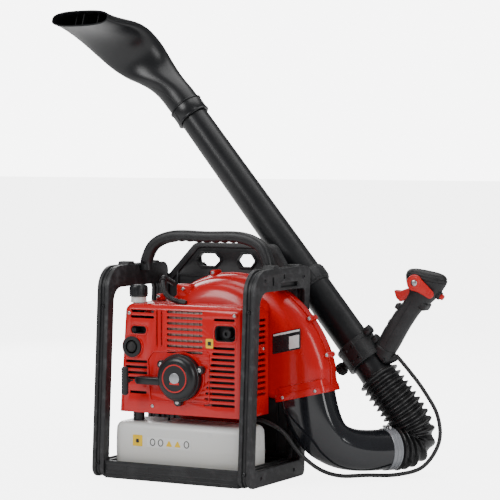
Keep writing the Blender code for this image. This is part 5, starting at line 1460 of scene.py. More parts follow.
class BLOWER_OT_fan_housing(bpy.types.Operator):
    """Makes the spiral fan housing with rounded shoulders, flange, lugs and outlet band."""
    bl_idname = "blower.fan_housing"
    bl_label = "Fan Housing"

    def execute(self, context):
        middle = HOUSING_SPLIT
        front = [(0.0, middle - 0.0001), (0.0, 0.056), (0.0016, 0.049), (0.0055, 0.0415),
                 (0.012, 0.0355), (0.0215, 0.031), (0.034, 0.0287), (0.048, 0.0283)]
        back = [(0.0, middle + 0.0001), (0.0, 0.084), (0.0012, 0.0915), (0.004, 0.097),
                (0.0085, 0.101), (0.0145, 0.1033), (0.023, 0.104), (0.034, 0.104)]
        for name, steps, nodes, hole in (
                ("fan_housing_front_shell", front, ("fan_housing_front",), None),
                ("fan_housing_rear_shell", back, ("fan_housing_rear",), 0.063)):
            outer = [scroll_ring(d, y) for d, y in steps]
            sign = 1 if name.startswith("fan_housing_front") else -1
            inner = [scroll_ring(d + 0.003, y + sign * 0.0026) for d, y in steps[1:]]
            inner.insert(0, scroll_ring(0.003, steps[0][1]))
            mesh = self.skin(outer, inner, hole)
            piece(name, mesh, "shell_red", "frame", nodes, 44)
        self.flange()
        self.lugs()
        self.outlet_band()
        self.intake_guard()
        self.label()
        return {"FINISHED"}

    @staticmethod
    def skin(outer, inner, hole):
        """The shell between the outer and inner rings, closed with a face plate."""
        bm = bmesh.new()
        rows = [[bm.verts.new(p) for p in ring] for ring in outer]
        inside = [[bm.verts.new(p) for p in ring] for ring in inner]
        for stack in (rows, inside):
            for a, b in zip(stack, stack[1:]):
                for k in range(len(a)):
                    n = (k + 1) % len(a)
                    bm.faces.new((a[k], a[n], b[n], b[k]))
        for k in range(len(rows[0])):
            n = (k + 1) % len(rows[0])
            bm.faces.new((rows[0][k], rows[0][n], inside[0][n], inside[0][k]))
        ends = []
        for ring in (rows[-1], inside[-1]):
            y = ring[0].co.y
            radius = hole or 0.029
            centre = Vector((CRANK_X, y, CRANK_Z))
            circle = []
            for vert in ring:
                out = (vert.co - centre).normalized()
                circle.append(bm.verts.new(centre + out * radius))
            for k in range(len(ring)):
                n = (k + 1) % len(ring)
                bm.faces.new((ring[k], ring[n], circle[n], circle[k]))
            ends.append(circle)
        for k in range(len(ends[0])):
            n = (k + 1) % len(ends[0])
            bm.faces.new((ends[0][k], ends[0][n], ends[1][n], ends[1][k]))
        bmesh.ops.recalc_face_normals(bm, faces=bm.faces)
        mesh = bpy.data.meshes.new("skin")
        bm.to_mesh(mesh)
        bm.free()
        return mesh

    @staticmethod
    def flange():
        """The raised joint line where the two halves meet."""
        line = [Vector((CRANK_X + (scroll_radius(s) + 0.0008) * math.cos(a), HOUSING_SPLIT,
                        CRANK_Z + (scroll_radius(s) + 0.0008) * math.sin(a)))
                for s, a in [(i / 110, math.radians(-22) - math.radians(333) * i / 110)
                             for i in range(3, 111)]]
        end = rim_point(OUTLET_WIDTH / 2 + 0.0006, 0)
        line += [line[-1].lerp(Vector((end.x, HOUSING_SPLIT, end.y)), t / 6) for t in (1, 2, 3,
                                                                                    4, 5)]
        rings = []
        for place in path_frames(line, Vector((0, 1, 0))):
            rings.append(section(place, 0.003, 0.0017, 5.0, 16))
        piece("fan_housing_flange", loft(rings), "shell_red", "frame", (), 50)

    @staticmethod
    def lugs():
        """Screw lugs round the spiral's joint line."""
        parts, screws = [], []
        for share in (0.52, 0.63, 0.74, 0.84, 0.93, 0.985):
            angle = math.radians(-22) - math.radians(333) * share
            out = Vector((math.cos(angle), 0, math.sin(angle)))
            centre = crank(0) + out * (scroll_radius(share) + 0.0048)
            parts.append(rod(0.0062, (centre.x, 0.052, centre.z), (centre.x, 0.08, centre.z),
                             0.0012, 28))
            web = block((-0.005, 0.056, -0.0075), (0.005, 0.076, 0.0), 0.001)
            web.transform(Matrix.Translation(Vector((centre.x, 0, centre.z))) @ Matrix.Rotation(
                math.pi / 2 - angle, 4, "Y"))
            parts.append(web)
            screws.append(((centre.x, 0.0518, centre.z), (0, -1, 0)))
        piece("fan_housing_lugs", joined("lugs", parts), "shell_red", "frame", ())
        piece("fan_housing_screws", scattered(screw_head(0.004, 0.002), screws, "steel", 1.0,
                                              3.0, 11), "steel", "frame", ())

    @staticmethod
    def outlet_band():
        """The stepped band round the outlet, over the end of the elbow."""
        centre_y = (HOUSING_FRONT + HOUSING_BACK) / 2
        mid = rim_point(0, 0)
        side = Vector((math.cos(OUTLET_TILT), 0, math.sin(OUTLET_TILT)))
        down = Vector((math.sin(OUTLET_TILT), 0, -math.cos(OUTLET_TILT)))
        half_x, half_y = OUTLET_WIDTH / 2, (HOUSING_BACK - HOUSING_FRONT) / 2
        outer, inner = [], []
        for along, grow in ((-0.026, 0.0004), (-0.025, 0.0026), (-0.012, 0.003),
                            (-0.0112, 0.0046), (0.001, 0.005), (0.0022, 0.0042)):
            place = (Vector((mid.x, centre_y, mid.y)) + down * along, side, Vector((0, 1, 0)))
            outer.append(section(place, half_x + grow, half_y + grow, 5.5, 72))
            inner.append(section(place, half_x - 0.0006, half_y - 0.0006, 5.5, 72))
        piece("outlet_band", loft(outer, inner), "shell_red", "frame", (), 40)
        spots = []
        for across in (-0.036, 0.04):
            place = Vector((mid.x, centre_y, mid.y)) + side * across + Vector((
                0, -half_y - 0.0046, 0)) + down * -0.005
            spots.append((place, (0, -1, 0)))
        piece("outlet_band_screws", scattered(screw_head(0.0036, 0.0018), spots, "steel"),
              "steel", "frame", ())

    @staticmethod
    def intake_guard():
        """The round grille over the fan's intake, towards the back panel."""
        parts = []
        for radius in (0.015, 0.027, 0.039, 0.051, 0.063):
            parts.append(turned([(radius - 0.0014, 0.0018), (radius + 0.0014, 0.0018),
                                 (radius + 0.0014, 0), (radius - 0.0014, 0)],
                                crank(0.1042), (0, 1, 0), 64))
        for k in range(8):
            spoke = block((0.002, 0.1043, -0.0012), (0.064, 0.1058, 0.0012), 0.0004)
            spoke.transform(Matrix.Translation(Vector((CRANK_X, 0, CRANK_Z))) @ Matrix.Rotation(
                2 * math.pi * k / 8, 4, "Y"))
            parts.append(spoke)
        parts.append(rod(0.006, crank(0.1041), crank(0.1066), 0.0008, 24))
        piece("intake_guard", joined("guard", parts), "frame_black", "frame", ())

    @staticmethod
    def label():
        """A blank plate on the spiral's front face: dark with a pale field."""
        y = 0.0283
        corners = [(0.158, 0.256), (0.222, 0.2705), (0.222, 0.312), (0.158, 0.2975)]
        slab = plate([rounded_loop(corners, 0.0022, 5)], -y - 0.0002, -y + 0.0004, 0.0001,
                     FACING)
        piece("housing_label", slab, "sticker_dark", "frame", ())
        fields = [[(0.16, 0.2925), (0.22, 0.306), (0.22, 0.31), (0.16, 0.2965)],
                  [(0.196, 0.268), (0.219, 0.2732), (0.219, 0.299), (0.196, 0.2938)]]
        pale = [plate([rounded_loop(f, 0.0008, 3)], -y + 0.0003, -y + 0.0007, 0.0001, FACING)
                for f in fields]
        piece("housing_label_fields", joined("fields", pale), "sticker_white", "frame", ())


# ---------------------------------------------------------------- air duct and hose
ELBOW_END = Vector((0.335, 0.178, 0.0555))
HOSE_HEADING = Vector((0.5, 0.866, 0.0)).normalized()
ELBOW_RADIUS = 0.042
TUBE_FOOT = Vector((0.302, 0.22, 0.203))
TUBE_AXIS = Vector((-0.635, 0.0, 0.7725)).normalized()
TUBE_SIDE = Vector((TUBE_AXIS.z, 0.0, -TUBE_AXIS.x))
HOSE_START = ELBOW_END + HOSE_HEADING * 0.024


def hose_path(count):
    """The hose's centre line."""
    first, last = HOSE_START + HOSE_HEADING * 0.004, TUBE_FOOT - TUBE_AXIS * 0.004
    middle = [bezier(first, first + HOSE_HEADING * 0.1, last - TUBE_AXIS * 0.1, last,
                     i / (count - 3)) for i in range(count - 2)]
    return [HOSE_START, *middle, TUBE_FOOT]


class BLOWER_OT_air_duct(bpy.types.Operator):
    """Makes the glossy elbow, the two-band clamp and its worm screw."""
    bl_idname = "blower.air_duct"
    bl_label = "Air Duct"

    def execute(self, context):
        rim = rim_point(0, 0.0003)
        start = Vector((rim.x, (HOUSING_FRONT + HOUSING_BACK) / 2, rim.y))
        down = Vector((math.sin(OUTLET_TILT), 0, -math.cos(OUTLET_TILT)))
        first, last = start + down * 0.004, ELBOW_END - HOSE_HEADING * 0.004
        count = 40
        path = [start] + [bezier(first, first + down * 0.1, last - HOSE_HEADING * 0.105, last,
                                 i / count) for i in range(count + 1)] + [ELBOW_END]
        frames = path_frames(path, Vector((math.cos(OUTLET_TILT), 0, math.sin(OUTLET_TILT))))
        half_x = OUTLET_WIDTH / 2 - 0.001
        half_y = (HOUSING_BACK - HOUSING_FRONT) / 2 - 0.0005
        outer, inner = [], []
        for i, place in enumerate(frames):
            share = i / (len(frames) - 1)
            ease = share * share * (3 - 2 * share)
            width = half_x + (ELBOW_RADIUS - half_x) * ease
            height = half_y + (ELBOW_RADIUS - half_y) * ease
            power = 3.4 - 1.4 * min(1.0, share * 2)
            outer.append(section(place, width - 0.0002, height - 0.0002, power, 72))
            inner.append(section(place, width - 0.003, height - 0.003, power, 72))
        piece("elbow_shell", loft(outer, inner), "duct_gloss", "frame", ("elbow_duct",),
              60)
        inner_r, outer_r = 0.0392, 0.0438
        clamp = [(inner_r, 0.0226), (outer_r - 0.001, 0.0226), (outer_r, 0.0216),
                 (outer_r, 0.0184), (outer_r - 0.0014, 0.0176), (outer_r - 0.0014, 0.013),
                 (outer_r, 0.0122), (outer_r, 0.009), (outer_r - 0.0014, 0.0082),
                 (outer_r - 0.0014, 0.004), (outer_r, 0.0032), (outer_r, 0.0012),
                 (outer_r - 0.001, 0.0004), (inner_r, 0.0004)]
        piece("clamp_ring", turned(clamp, ELBOW_END, HOSE_HEADING, 80, (0, 0, 1)), "clamp_grey",
              "hose", ("hose_clamp",), 34)
        worm = rod(0.0034, ELBOW_END + HOSE_HEADING * 0.011 + Vector((-0.012, 0.007, 0.0455)),
                   ELBOW_END + HOSE_HEADING * 0.011 + Vector((0.01, -0.006, 0.0455)), 0.0008,
                   24)
        lug = block((-0.006, -0.0045, 0.0405), (0.006, 0.0045, 0.0465), 0.0012)
        lug.transform(Matrix.Translation(ELBOW_END + HOSE_HEADING * 0.011) @ Matrix.Rotation(
            math.radians(-30), 4, "Z"))
        piece("clamp_screw", joined("worm", [worm, lug]), "steel", "hose", ())
        return {"FINISHED"}


class BLOWER_OT_ribbed_hose(bpy.types.Operator):
    """Makes the ribbed hose that bends between the clamp and the tube."""
    bl_idname = "blower.ribbed_hose"
    bl_label = "Ribbed Hose"

    def execute(self, context):
        sizes = context.scene.blower_sizes
        values = {"Ribs": sizes.fin_count, "Steps per Rib": 12, "Sides": 56,
                  "Groove Radius": 0.046 - sizes.fin_depth, "Rib Height": sizes.fin_depth - 0.0002,
                  "Sharpness": 1.35}
        mesh = ribbed_sleeve(hose_path(64), values, "hose_rubber")
        mesh = modified(mesh, ("SOLIDIFY", {"thickness": 0.0012, "offset": -1.0}))
        hose = piece("ribbed_hose", merged(mesh, 0.000002), "hose_rubber", None, (), 60)
        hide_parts("bellows_hose")
        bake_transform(hose)
        return {"FINISHED"}


CONDUIT_ROUTE = ((0.12, 0.008, 0.123), (0.152, 0.0085, 0.121), (0.195, 0.006, 0.102),
                 (0.23, 0.006, 0.064), (0.256, 0.042, 0.028), (0.28, 0.09, 0.009),
                 (0.318, 0.138, 0.0064), (0.37, 0.172, 0.007), (0.412, 0.208, 0.022),
                 (0.435, 0.235, 0.07), (0.429, 0.24, 0.125), (0.4, 0.232, 0.178),
                 (0.37, 0.224, 0.218), (0.3445, 0.2205, 0.2465))


class BLOWER_OT_throttle_conduit(bpy.types.Operator):
    """Makes the split loom round the throttle cable, in three stretches."""
    bl_idname = "blower.throttle_conduit"
    bl_label = "Throttle Conduit"

    def execute(self, context):
        path = through(CONDUIT_ROUTE, 10)
        cuts = (0, 62, 112, len(path) - 1)
        spans = (("conduit_lower", "frame", "hose", path[34], path[58]),
                 ("conduit_middle", "hose", "tube", path[72], path[110]),
                 ("conduit_upper", "tube", "grip", path[114], path[-2]))
        for (name, a, b, start, end), low, high in zip(spans, cuts, cuts[1:]):
            stretch = path[low:high + 1]
            long = sum((q - p).length for p, q in zip(stretch, stretch[1:]))
            values = {"Ribs": max(4, int(long / 0.0032)), "Steps per Rib": 4, "Sides": 14,
                      "Groove Radius": 0.004, "Rib Height": 0.0005, "Sharpness": 1.0}
            mesh = ribbed_sleeve(stretch, values, "hose_rubber")
            mesh = self.capped(mesh)
            loom = piece(name, mesh, "hose_rubber", None, (), 70)
            if low == 0:
                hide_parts("throttle_conduit")
            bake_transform(loom)
        return {"FINISHED"}

    @staticmethod
    def capped(mesh):
        """A sleeve with its open ends closed."""
        bm = bmesh.new()
        bm.from_mesh(mesh)
        bmesh.ops.holes_fill(bm, edges=[e for e in bm.edges if e.is_boundary], sides=0)
        bmesh.ops.recalc_face_normals(bm, faces=bm.faces)
        bm.to_mesh(mesh)
        bm.free()
        return mesh


# ---------------------------------------------------------------- tubes and nozzle
LOWER_LENGTH, UPPER_LENGTH, TUBE_RADIUS = 0.248, 0.444, 0.0352
TUBE_TOP = LOWER_LENGTH + UPPER_LENGTH
COLLAR_LENGTH, RING_LENGTH = 0.036, 0.034
MOUTH = Vector((-0.3333, 0.07, 0.95))
MOUTH_HEADING = Vector((-0.187, -0.944, 0.27)).normalized()
MOUTH_WIDTH_AXIS = Vector((1.0, -0.089, -0.035))
MOUTH_HALF_WIDTH, MOUTH_HALF_HEIGHT = 0.0837, 0.0168
NOZZLE_COLLAR, NOZZLE_NECK, NOZZLE_WALL = 0.0363, 0.0342, 0.002    # radii and wall
NOZZLE_PULLS = (0.06, 0.18)     # how strongly its foot and its mouth run straight on
NOZZLE_ROUND = 0.1               # share of its length that stays round
RING_SEAT, UPPER_TUBE_END = 0.0355, 0.0313     # radii


def on_tube(along, side=0.0, across=0.0):
    """A point in the tube's own frame."""
    return TUBE_FOOT + TUBE_AXIS * along + TUBE_SIDE * side + Vector((0, across, 0))


class BLOWER_OT_blower_tubes(bpy.types.Operator):
    """Makes the two tubes, their rolled ends and the faceted coupling ring."""
    bl_idname = "blower.blower_tubes"
    bl_label = "Blower Tubes"

    def execute(self, context):
        r, wall = TUBE_RADIUS - 0.0002, 0.002
        lower = [(r - wall, LOWER_LENGTH), (r - 0.0006, LOWER_LENGTH), (r, LOWER_LENGTH - 0.0006),
                 (r, 0.014), (r + 0.0001, 0.0136), (r + 0.0001, 0.001), (r - 0.0008, 0.0006),
                 (r - wall, 0.0006)]
        piece("lower_tube_body", turned(lower, on_tube(0), TUBE_AXIS, 96), "tube_black", "tube",
              ("lower_tube",), 34)
        top = UPPER_TUBE_END
        upper = [(top - wall, UPPER_LENGTH - 0.0004), (top, UPPER_LENGTH - 0.0004),
                 (r, 0.0008), (r - wall, 0.0008)]
        piece("upper_tube_body", turned(upper, on_tube(LOWER_LENGTH), TUBE_AXIS, 96),
              "tube_black", "tube", ("upper_tube",), 34)
        inner = RING_SEAT
        ring = [(inner, RING_LENGTH), (0.0376, RING_LENGTH), (0.0386, RING_LENGTH - 0.001),
                (0.039, RING_LENGTH - 0.0045), (0.0402, RING_LENGTH - 0.0055),
                (0.0405, RING_LENGTH - 0.007), (0.0405, 0.006), (0.04, 0.005),
                (0.0388, 0.0042), (0.0385, 0.001), (0.0375, 0), (inner, 0)]
        parts = [turned(ring, on_tube(LOWER_LENGTH - RING_LENGTH / 2), TUBE_AXIS, 16)]
        bosses = []
        for k in range(2):
            turn = Matrix.Rotation(math.pi * k + 0.6, 3, TUBE_AXIS)
            out = turn @ Vector((0, -1, 0))
            bar = block((-0.0055, -0.003, -0.012), (0.0055, 0.0022, 0.012), 0.0016, 3)
            bar.transform(axis_frame(on_tube(LOWER_LENGTH) + out * 0.0385, TUBE_AXIS,
                                     out.cross(TUBE_AXIS)))
            bosses.append(bar)
        piece("coupling_ring_body", joined("ring", parts + bosses), "frame_black", "tube",
              ("coupling_ring",), 20)
        seam = []
        for side in (-1, 1):
            for low, high, r0, r1 in ((0.085, LOWER_LENGTH - 0.018, r, r),
                                      (LOWER_LENGTH + 0.018, TUBE_TOP - 0.001, r - 0.0002, top)):
                line = [on_tube(low + (high - low) * t / 20,
                                side * (r0 + (r1 - r0) * t / 20 - 0.0002)) for t in range(21)]
                seam.append(cord_mesh(line, 0.0006, 6, (0, 1, 0)))
        piece("tube_seams", joined("seams", seam), "tube_black", "tube", (), 60)
        return {"FINISHED"}


class BLOWER_OT_blower_nozzle(bpy.types.Operator):
    """Makes the curved, flattened nozzle with its collar, lip, web and raised mark."""
    bl_idname = "blower.blower_nozzle"
    bl_label = "Blower Nozzle"

    def execute(self, context):
        count = 48
        start = on_tube(TUBE_TOP + COLLAR_LENGTH + 0.0002)
        path = [on_tube(TUBE_TOP + 0.0004), on_tube(TUBE_TOP + 0.0014),
                on_tube(TUBE_TOP + COLLAR_LENGTH - 0.0016),
                on_tube(TUBE_TOP + COLLAR_LENGTH - 0.0004), start]
        first = len(path) - 1
        path += [bezier(start, start + TUBE_AXIS * NOZZLE_PULLS[0],
                        MOUTH - MOUTH_HEADING * NOZZLE_PULLS[1], MOUTH, i / count)
                 for i in range(1, count + 1)]
        frames = path_frames(path, Vector((0, 1, 0)))
        goal = MOUTH_WIDTH_AXIS.normalized()
        goal = (goal - MOUTH_HEADING * goal.dot(MOUTH_HEADING)).normalized()
        twist = frames[-1][1].angle(goal)
        if frames[-1][1].cross(goal).dot(MOUTH_HEADING) < 0:
            twist = -twist
        collar, neck = NOZZLE_COLLAR, NOZZLE_NECK
        outer, inner, ends = [], [], []
        for i, (point, side, up) in enumerate(frames):
            share = max(0.0, (i - first) / count)
            ease = share * share * (3 - 2 * share)
            late = max(0.0, (share - NOZZLE_ROUND) / (1 - NOZZLE_ROUND))
            late = late * late * (3 - 2 * late)
            turn = Matrix.Rotation(twist * ease, 3, side.cross(up).normalized())
            place = (point, turn @ side, turn @ up)
            radius = (collar - 0.0008, collar, collar, collar - 0.0008)[i] if i < first else neck
            lip = 0.0012 * max(0.0, 1 - (1 - share) / 0.035) if share > 0.9 else 0.0
            width = radius + (MOUTH_HALF_WIDTH - radius) * late ** 1.27 + lip
            height = radius + (MOUTH_HALF_HEIGHT - radius) * late ** 0.7 + lip
            power = 2.0 + 0.8 * ease
            outer.append(section(place, width, height, power, 72))
            wall = radius - neck + NOZZLE_WALL
            inner.append(section(place, width - wall - lip, height - wall - lip, power, 72))
            ends.append((place, height))
        piece("nozzle_shell", loft(outer, inner), "tube_black", "nozzle", ("blower_nozzle",),
              42)
        webs = [loft([section((p + s * off, s, u), thick, h - short, 6.0, 12)
                      for (p, s, u), h in ends[-9:last]])
                for off, thick, short, last in ((0, 0.0012, 0.0022, -1), (0.034, 0.001, 0.0024, -2),
                                                (-0.034, 0.001, 0.0024, -2))]
        piece("nozzle_webs", joined("webs", webs), "frame_black", "nozzle", ())
        marks = []
        for k in range(3):
            turn = Matrix.Rotation(2 * math.pi * k / 3 - 0.5, 3, TUBE_AXIS)
            out = turn @ Vector((0, -1, 0))
            bar = block((-0.0022, -0.001, -0.011), (0.0022, 0.0012, 0.011), 0.0009, 3)
            bar.transform(axis_frame(on_tube(TUBE_TOP + 0.018) + out * 0.0362, TUBE_AXIS,
                                     out.cross(TUBE_AXIS)))
            marks.append(bar)
        lip = turned([(0.0364, 0.003), (0.0378, 0.0024), (0.0378, 0.0006), (0.0364, 0)],
                     on_tube(TUBE_TOP + COLLAR_LENGTH - 0.0045), TUBE_AXIS, 96)
        foot = turned([(0.0364, 0.0036), (0.0376, 0.003), (0.0376, 0.0006), (0.0364, 0)],
                      on_tube(TUBE_TOP + 0.001), TUBE_AXIS, 96)
        piece("nozzle_collar_marks", joined("marks", [*marks, lip, foot]), "tube_black", "nozzle",
              ())
        lines = []
        for k in (0, 36):
            lines.append(cord_mesh([ring[k] for ring in outer[first + 2:-1]], 0.0006, 6,
                                   (0, 1, 0)))
        piece("nozzle_seams", joined("lines", lines), "tube_black", "nozzle", (),
              60)
        return {"FINISHED"}


# ---------------------------------------------------------------- control grip
BRACKET_AT, BRACKET_LENGTH, BRACKET_SEAT = 0.059, 0.05, 0.0355
GRIP_AXIS = Vector((0.506, 0.0, 0.862)).normalized()
GRIP_OUT = Vector((GRIP_AXIS.z, 0, -GRIP_AXIS.x))
GRIP_FOOT = Vector((0.323, 0.22, 0.262))


def on_grip(along, side=0.0, across=0.0):
    """A point in the grip's own frame; side is away from the tube."""
    return GRIP_FOOT + GRIP_AXIS * along + GRIP_OUT * side + Vector((0, across, 0))


# along the grip, to its side, half width, half depth, tilt in radians
GRIP_STATIONS = ((0.0, 0.0, 0.0225, 0.018, 0), (0.02, 0.0, 0.0235, 0.017, 0),
                 (0.06, 0.0005, 0.023, 0.0165, 0), (0.1, 0.0052, 0.0215, 0.0168, 0),
                 (0.118, 0.0098, 0.0232, 0.018, 0.0698), (0.135, 0.0125, 0.028, 0.0196, 0.1745),
                 (0.152, 0.008, 0.0392, 0.0205, 0.2793), (0.168, 0.0045, 0.0455, 0.0208, 0.3665))
TRIGGER_PIVOT, LEVER_PIVOT = on_grip(0.135, -0.012), on_grip(0.1554, -0.0062)
STOP_SPOT = on_grip(0.156, 0.0484)
LEVER_EYE, LEVER_TIP = 0.0172, 0.0092     # radii of the cruise lever's two ends
TRIGGER_HALF = 0.0053


def grip_frame(origin):
    """Takes (side, along, across) at the origin to the object's frame."""
    return Matrix.Translation(origin) @ Matrix(
        (GRIP_OUT, GRIP_AXIS, GRIP_OUT.cross(GRIP_AXIS))).transposed().to_4x4()


def head_place(along, shift, tilt):
    """The frame of one ring of the grip, turned by its tilt."""
    out = GRIP_OUT * math.cos(tilt) + GRIP_AXIS * math.sin(tilt)
    return on_grip(along, shift), out, Vector((0, 1, 0))




class BLOWER_OT_grip_bracket(bpy.types.Operator):
    """Makes the split clamp that carries the grip, its bolts, and the cable gland."""
    bl_idname = "blower.grip_bracket"
    bl_label = "Grip Bracket"

    def execute(self, context):
        low = BRACKET_AT - BRACKET_LENGTH / 2
        profile = [(BRACKET_SEAT + 0.0002, BRACKET_LENGTH), (0.0424, BRACKET_LENGTH),
                   (0.0434, BRACKET_LENGTH - 0.001), (0.0434, BRACKET_LENGTH - 0.008),
                   (0.042, BRACKET_LENGTH - 0.0095), (0.042, 0.0095), (0.0434, 0.008),
                   (0.0434, 0.001), (0.0424, 0), (BRACKET_SEAT + 0.0002, 0)]
        ring = turned(profile, on_tube(low), TUBE_AXIS, 72)
        parts = [ring]
        foot_path = [on_grip(-0.04), on_grip(-0.03), on_grip(-0.018), on_grip(-0.006),
                     on_grip(-0.0004)]
        rings = [section((p, GRIP_OUT, Vector((0, 1, 0))), w, d, 2.8, 40) for p, w, d in
                 zip(foot_path, (0.026, 0.025, 0.024, 0.0225, 0.0215),
                     (0.02, 0.02, 0.0195, 0.019, 0.0185))]
        foot = cut(loft(rings), rod(BRACKET_SEAT + 0.004, on_tube(low - 0.06),
                                    on_tube(low + 0.12), 0, 48))
        parts.append(rounded(foot, 0.0012, 2, 40))
        gland_end = Vector((0.3462, 0.2208, 0.244))
        parts.append(cord_mesh([on_grip(-0.012, 0.014), on_grip(-0.016, 0.022),
                                gland_end.lerp(on_grip(-0.016, 0.022), 0.45), gland_end],
                               [0.012, 0.0105, 0.008, 0.0066], 28, (0, 1, 0)))
        for side, long in ((-1, -0.0475), (1, 0.052)):
            spot = on_tube(BRACKET_AT, side * (BRACKET_SEAT + 0.003), -0.0005)
            parts.append(rod(0.0108, spot, on_tube(BRACKET_AT, long, -0.0005), 0.0014, 36))
        lug = rod(0.0098, on_tube(BRACKET_AT + 0.023, BRACKET_SEAT + 0.004, -0.012),
                  on_tube(BRACKET_AT + 0.023, 0.0555, -0.012), 0.0016, 36)
        parts.append(lug)
        for across in (-0.0405, 0.0405):
            bar = block((-0.015, -0.003, -0.022), (0.015, 0.003, 0.022), 0.0016, 3)
            bar.transform(axis_frame(on_tube(BRACKET_AT, 0, across), TUBE_AXIS, TUBE_SIDE))
            parts.append(bar)
        piece("grip_bracket_body", joined("bracket", parts), "frame_black", "grip",
              ("handle_bracket",), 34)
        spots = [(on_tube(BRACKET_AT + along, side, -0.0434), (0, -1, 0))
                 for along, side in ((-0.013, -0.008), (0.013, -0.008), (-0.013, 0.009),
                                     (0.013, 0.009))]
        spots += [(on_grip(-0.02, side, -0.0198), (0, -1, 0)) for side in (-0.012, 0.013)]
        spots.append((on_tube(BRACKET_AT + 0.023, 0.0556, -0.012), TUBE_SIDE))
        piece("grip_bracket_screws", scattered(screw_head(0.0036, 0.002), spots, "bolt_black",
                                               1.0, 3.0, 13), "bolt_black", "grip", ())
        base = on_tube(BRACKET_AT, -0.0483)
        knob = turned([(0, 0.0198), (0.008, 0.0198), (0.009, 0.019), (0.0094, 0.0178),
                       (0.0118, 0.0168), (0.0126, 0.015), (0.0126, 0.004), (0.0114, 0.0024),
                       (0.008, 0.0016), (0.008, 0), (0, 0)], base, -TUBE_SIDE, 48)
        bars = []
        for k in range(14):
            turn = Matrix.Rotation(2 * math.pi * k / 14, 3, TUBE_SIDE)
            out = turn @ Vector((0, 1, 0))
            bars.append(rod(0.0015, base - TUBE_SIDE * 0.004 + out * 0.0122,
                            base - TUBE_SIDE * 0.0155 + out * 0.0122, 0.0008, 12))
        piece("bracket_knob_body", joined("knob", [knob, *bars]), "soft_rubber", "knob",
              ("bracket_knob",))
        return {"FINISHED"}


class BLOWER_OT_control_grip(bpy.types.Operator):
    """Makes the upright grip with its flared head, finger rests and rubber cap."""
    bl_idname = "blower.control_grip"
    bl_label = "Control Grip"

    def execute(self, context):
        rings = []
        for station in through([Vector(row) for row in GRIP_STATIONS], 5):
            along, shift, width, depth, tilt = station
            place = head_place(along, shift, tilt)
            ring = section(place, width - 0.0003, depth - 0.0003, 2.4, 56)
            for co in ring:
                inward = (co - place[0]).dot(GRIP_OUT)
                if inward < -0.01 and 0.02 < along < 0.095:
                    wave = 0.001 * math.cos((along - 0.02) / 0.075 * 2 * math.pi * 3.5)
                    co += GRIP_OUT * (wave * min(1.0, (-inward - 0.01) / 0.008))
            rings.append(ring)
        grip = loft(rings)
        pocket = block((-0.06, -0.05, -0.0061), (0.012, 0.005, 0.0061), 0.001)
        pocket.transform(grip_frame(TRIGGER_PIVOT))
        grip = cut(grip, pocket)
        piece("control_grip_body", grip, "grip_black", "grip", ("control_grip",),
              40)
        step = block((0.02, 0.112, -0.015), (0.0372, 0.129, 0.015), 0.004, 3)
        step.transform(grip_frame(GRIP_FOOT))
        heel = block((-0.0255, 0.082, -0.01), (-0.012, 0.095, 0.01), 0.0035, 3)
        heel.transform(grip_frame(GRIP_FOOT))
        piece("control_grip_steps", joined("steps", [step, heel]), "grip_black", "grip", (),
              40)
        joint = []
        for side in (-1, 1):
            line = [on_grip(a, 0.001 + 0.004 * (a / 0.135) ** 3, side * (d + 0.0001))
                    for a, _, _, d, _ in GRIP_STATIONS[:5]]
            joint.append(cord_mesh(line, 0.0004, 6, (0, 1, 0)))
        piece("control_grip_seam", joined("seam", joint), "frame_black", "grip", (),
              60)
        top = GRIP_STATIONS[-1]
        point, out, across = head_place(top[0], top[1], top[4])
        up = out.cross(across)
        up = up if up.dot(GRIP_AXIS) > 0 else -up
        cap_rings = []
        for lift, share in ((0.0004, 0.975), (0.0014, 1.0), (0.005, 1.0), (0.0062, 0.985),
                            (0.0066, 0.96), (0.0074, 0.96), (0.0082, 0.985), (0.011, 0.955),
                            (0.0122, 0.935), (0.0126, 0.905), (0.0134, 0.905), (0.0142, 0.9),
                            (0.0168, 0.79), (0.0186, 0.62), (0.0193, 0.4), (0.0195, 0.15)):
            cap_rings.append(section((point + up * lift, out, across), top[2] * share,
                                     top[3] * share, 2.4, 56))
        piece("grip_cap_body", loft(cap_rings), "soft_rubber", "grip", ("grip_cap",),
              50)
        return {"FINISHED"}


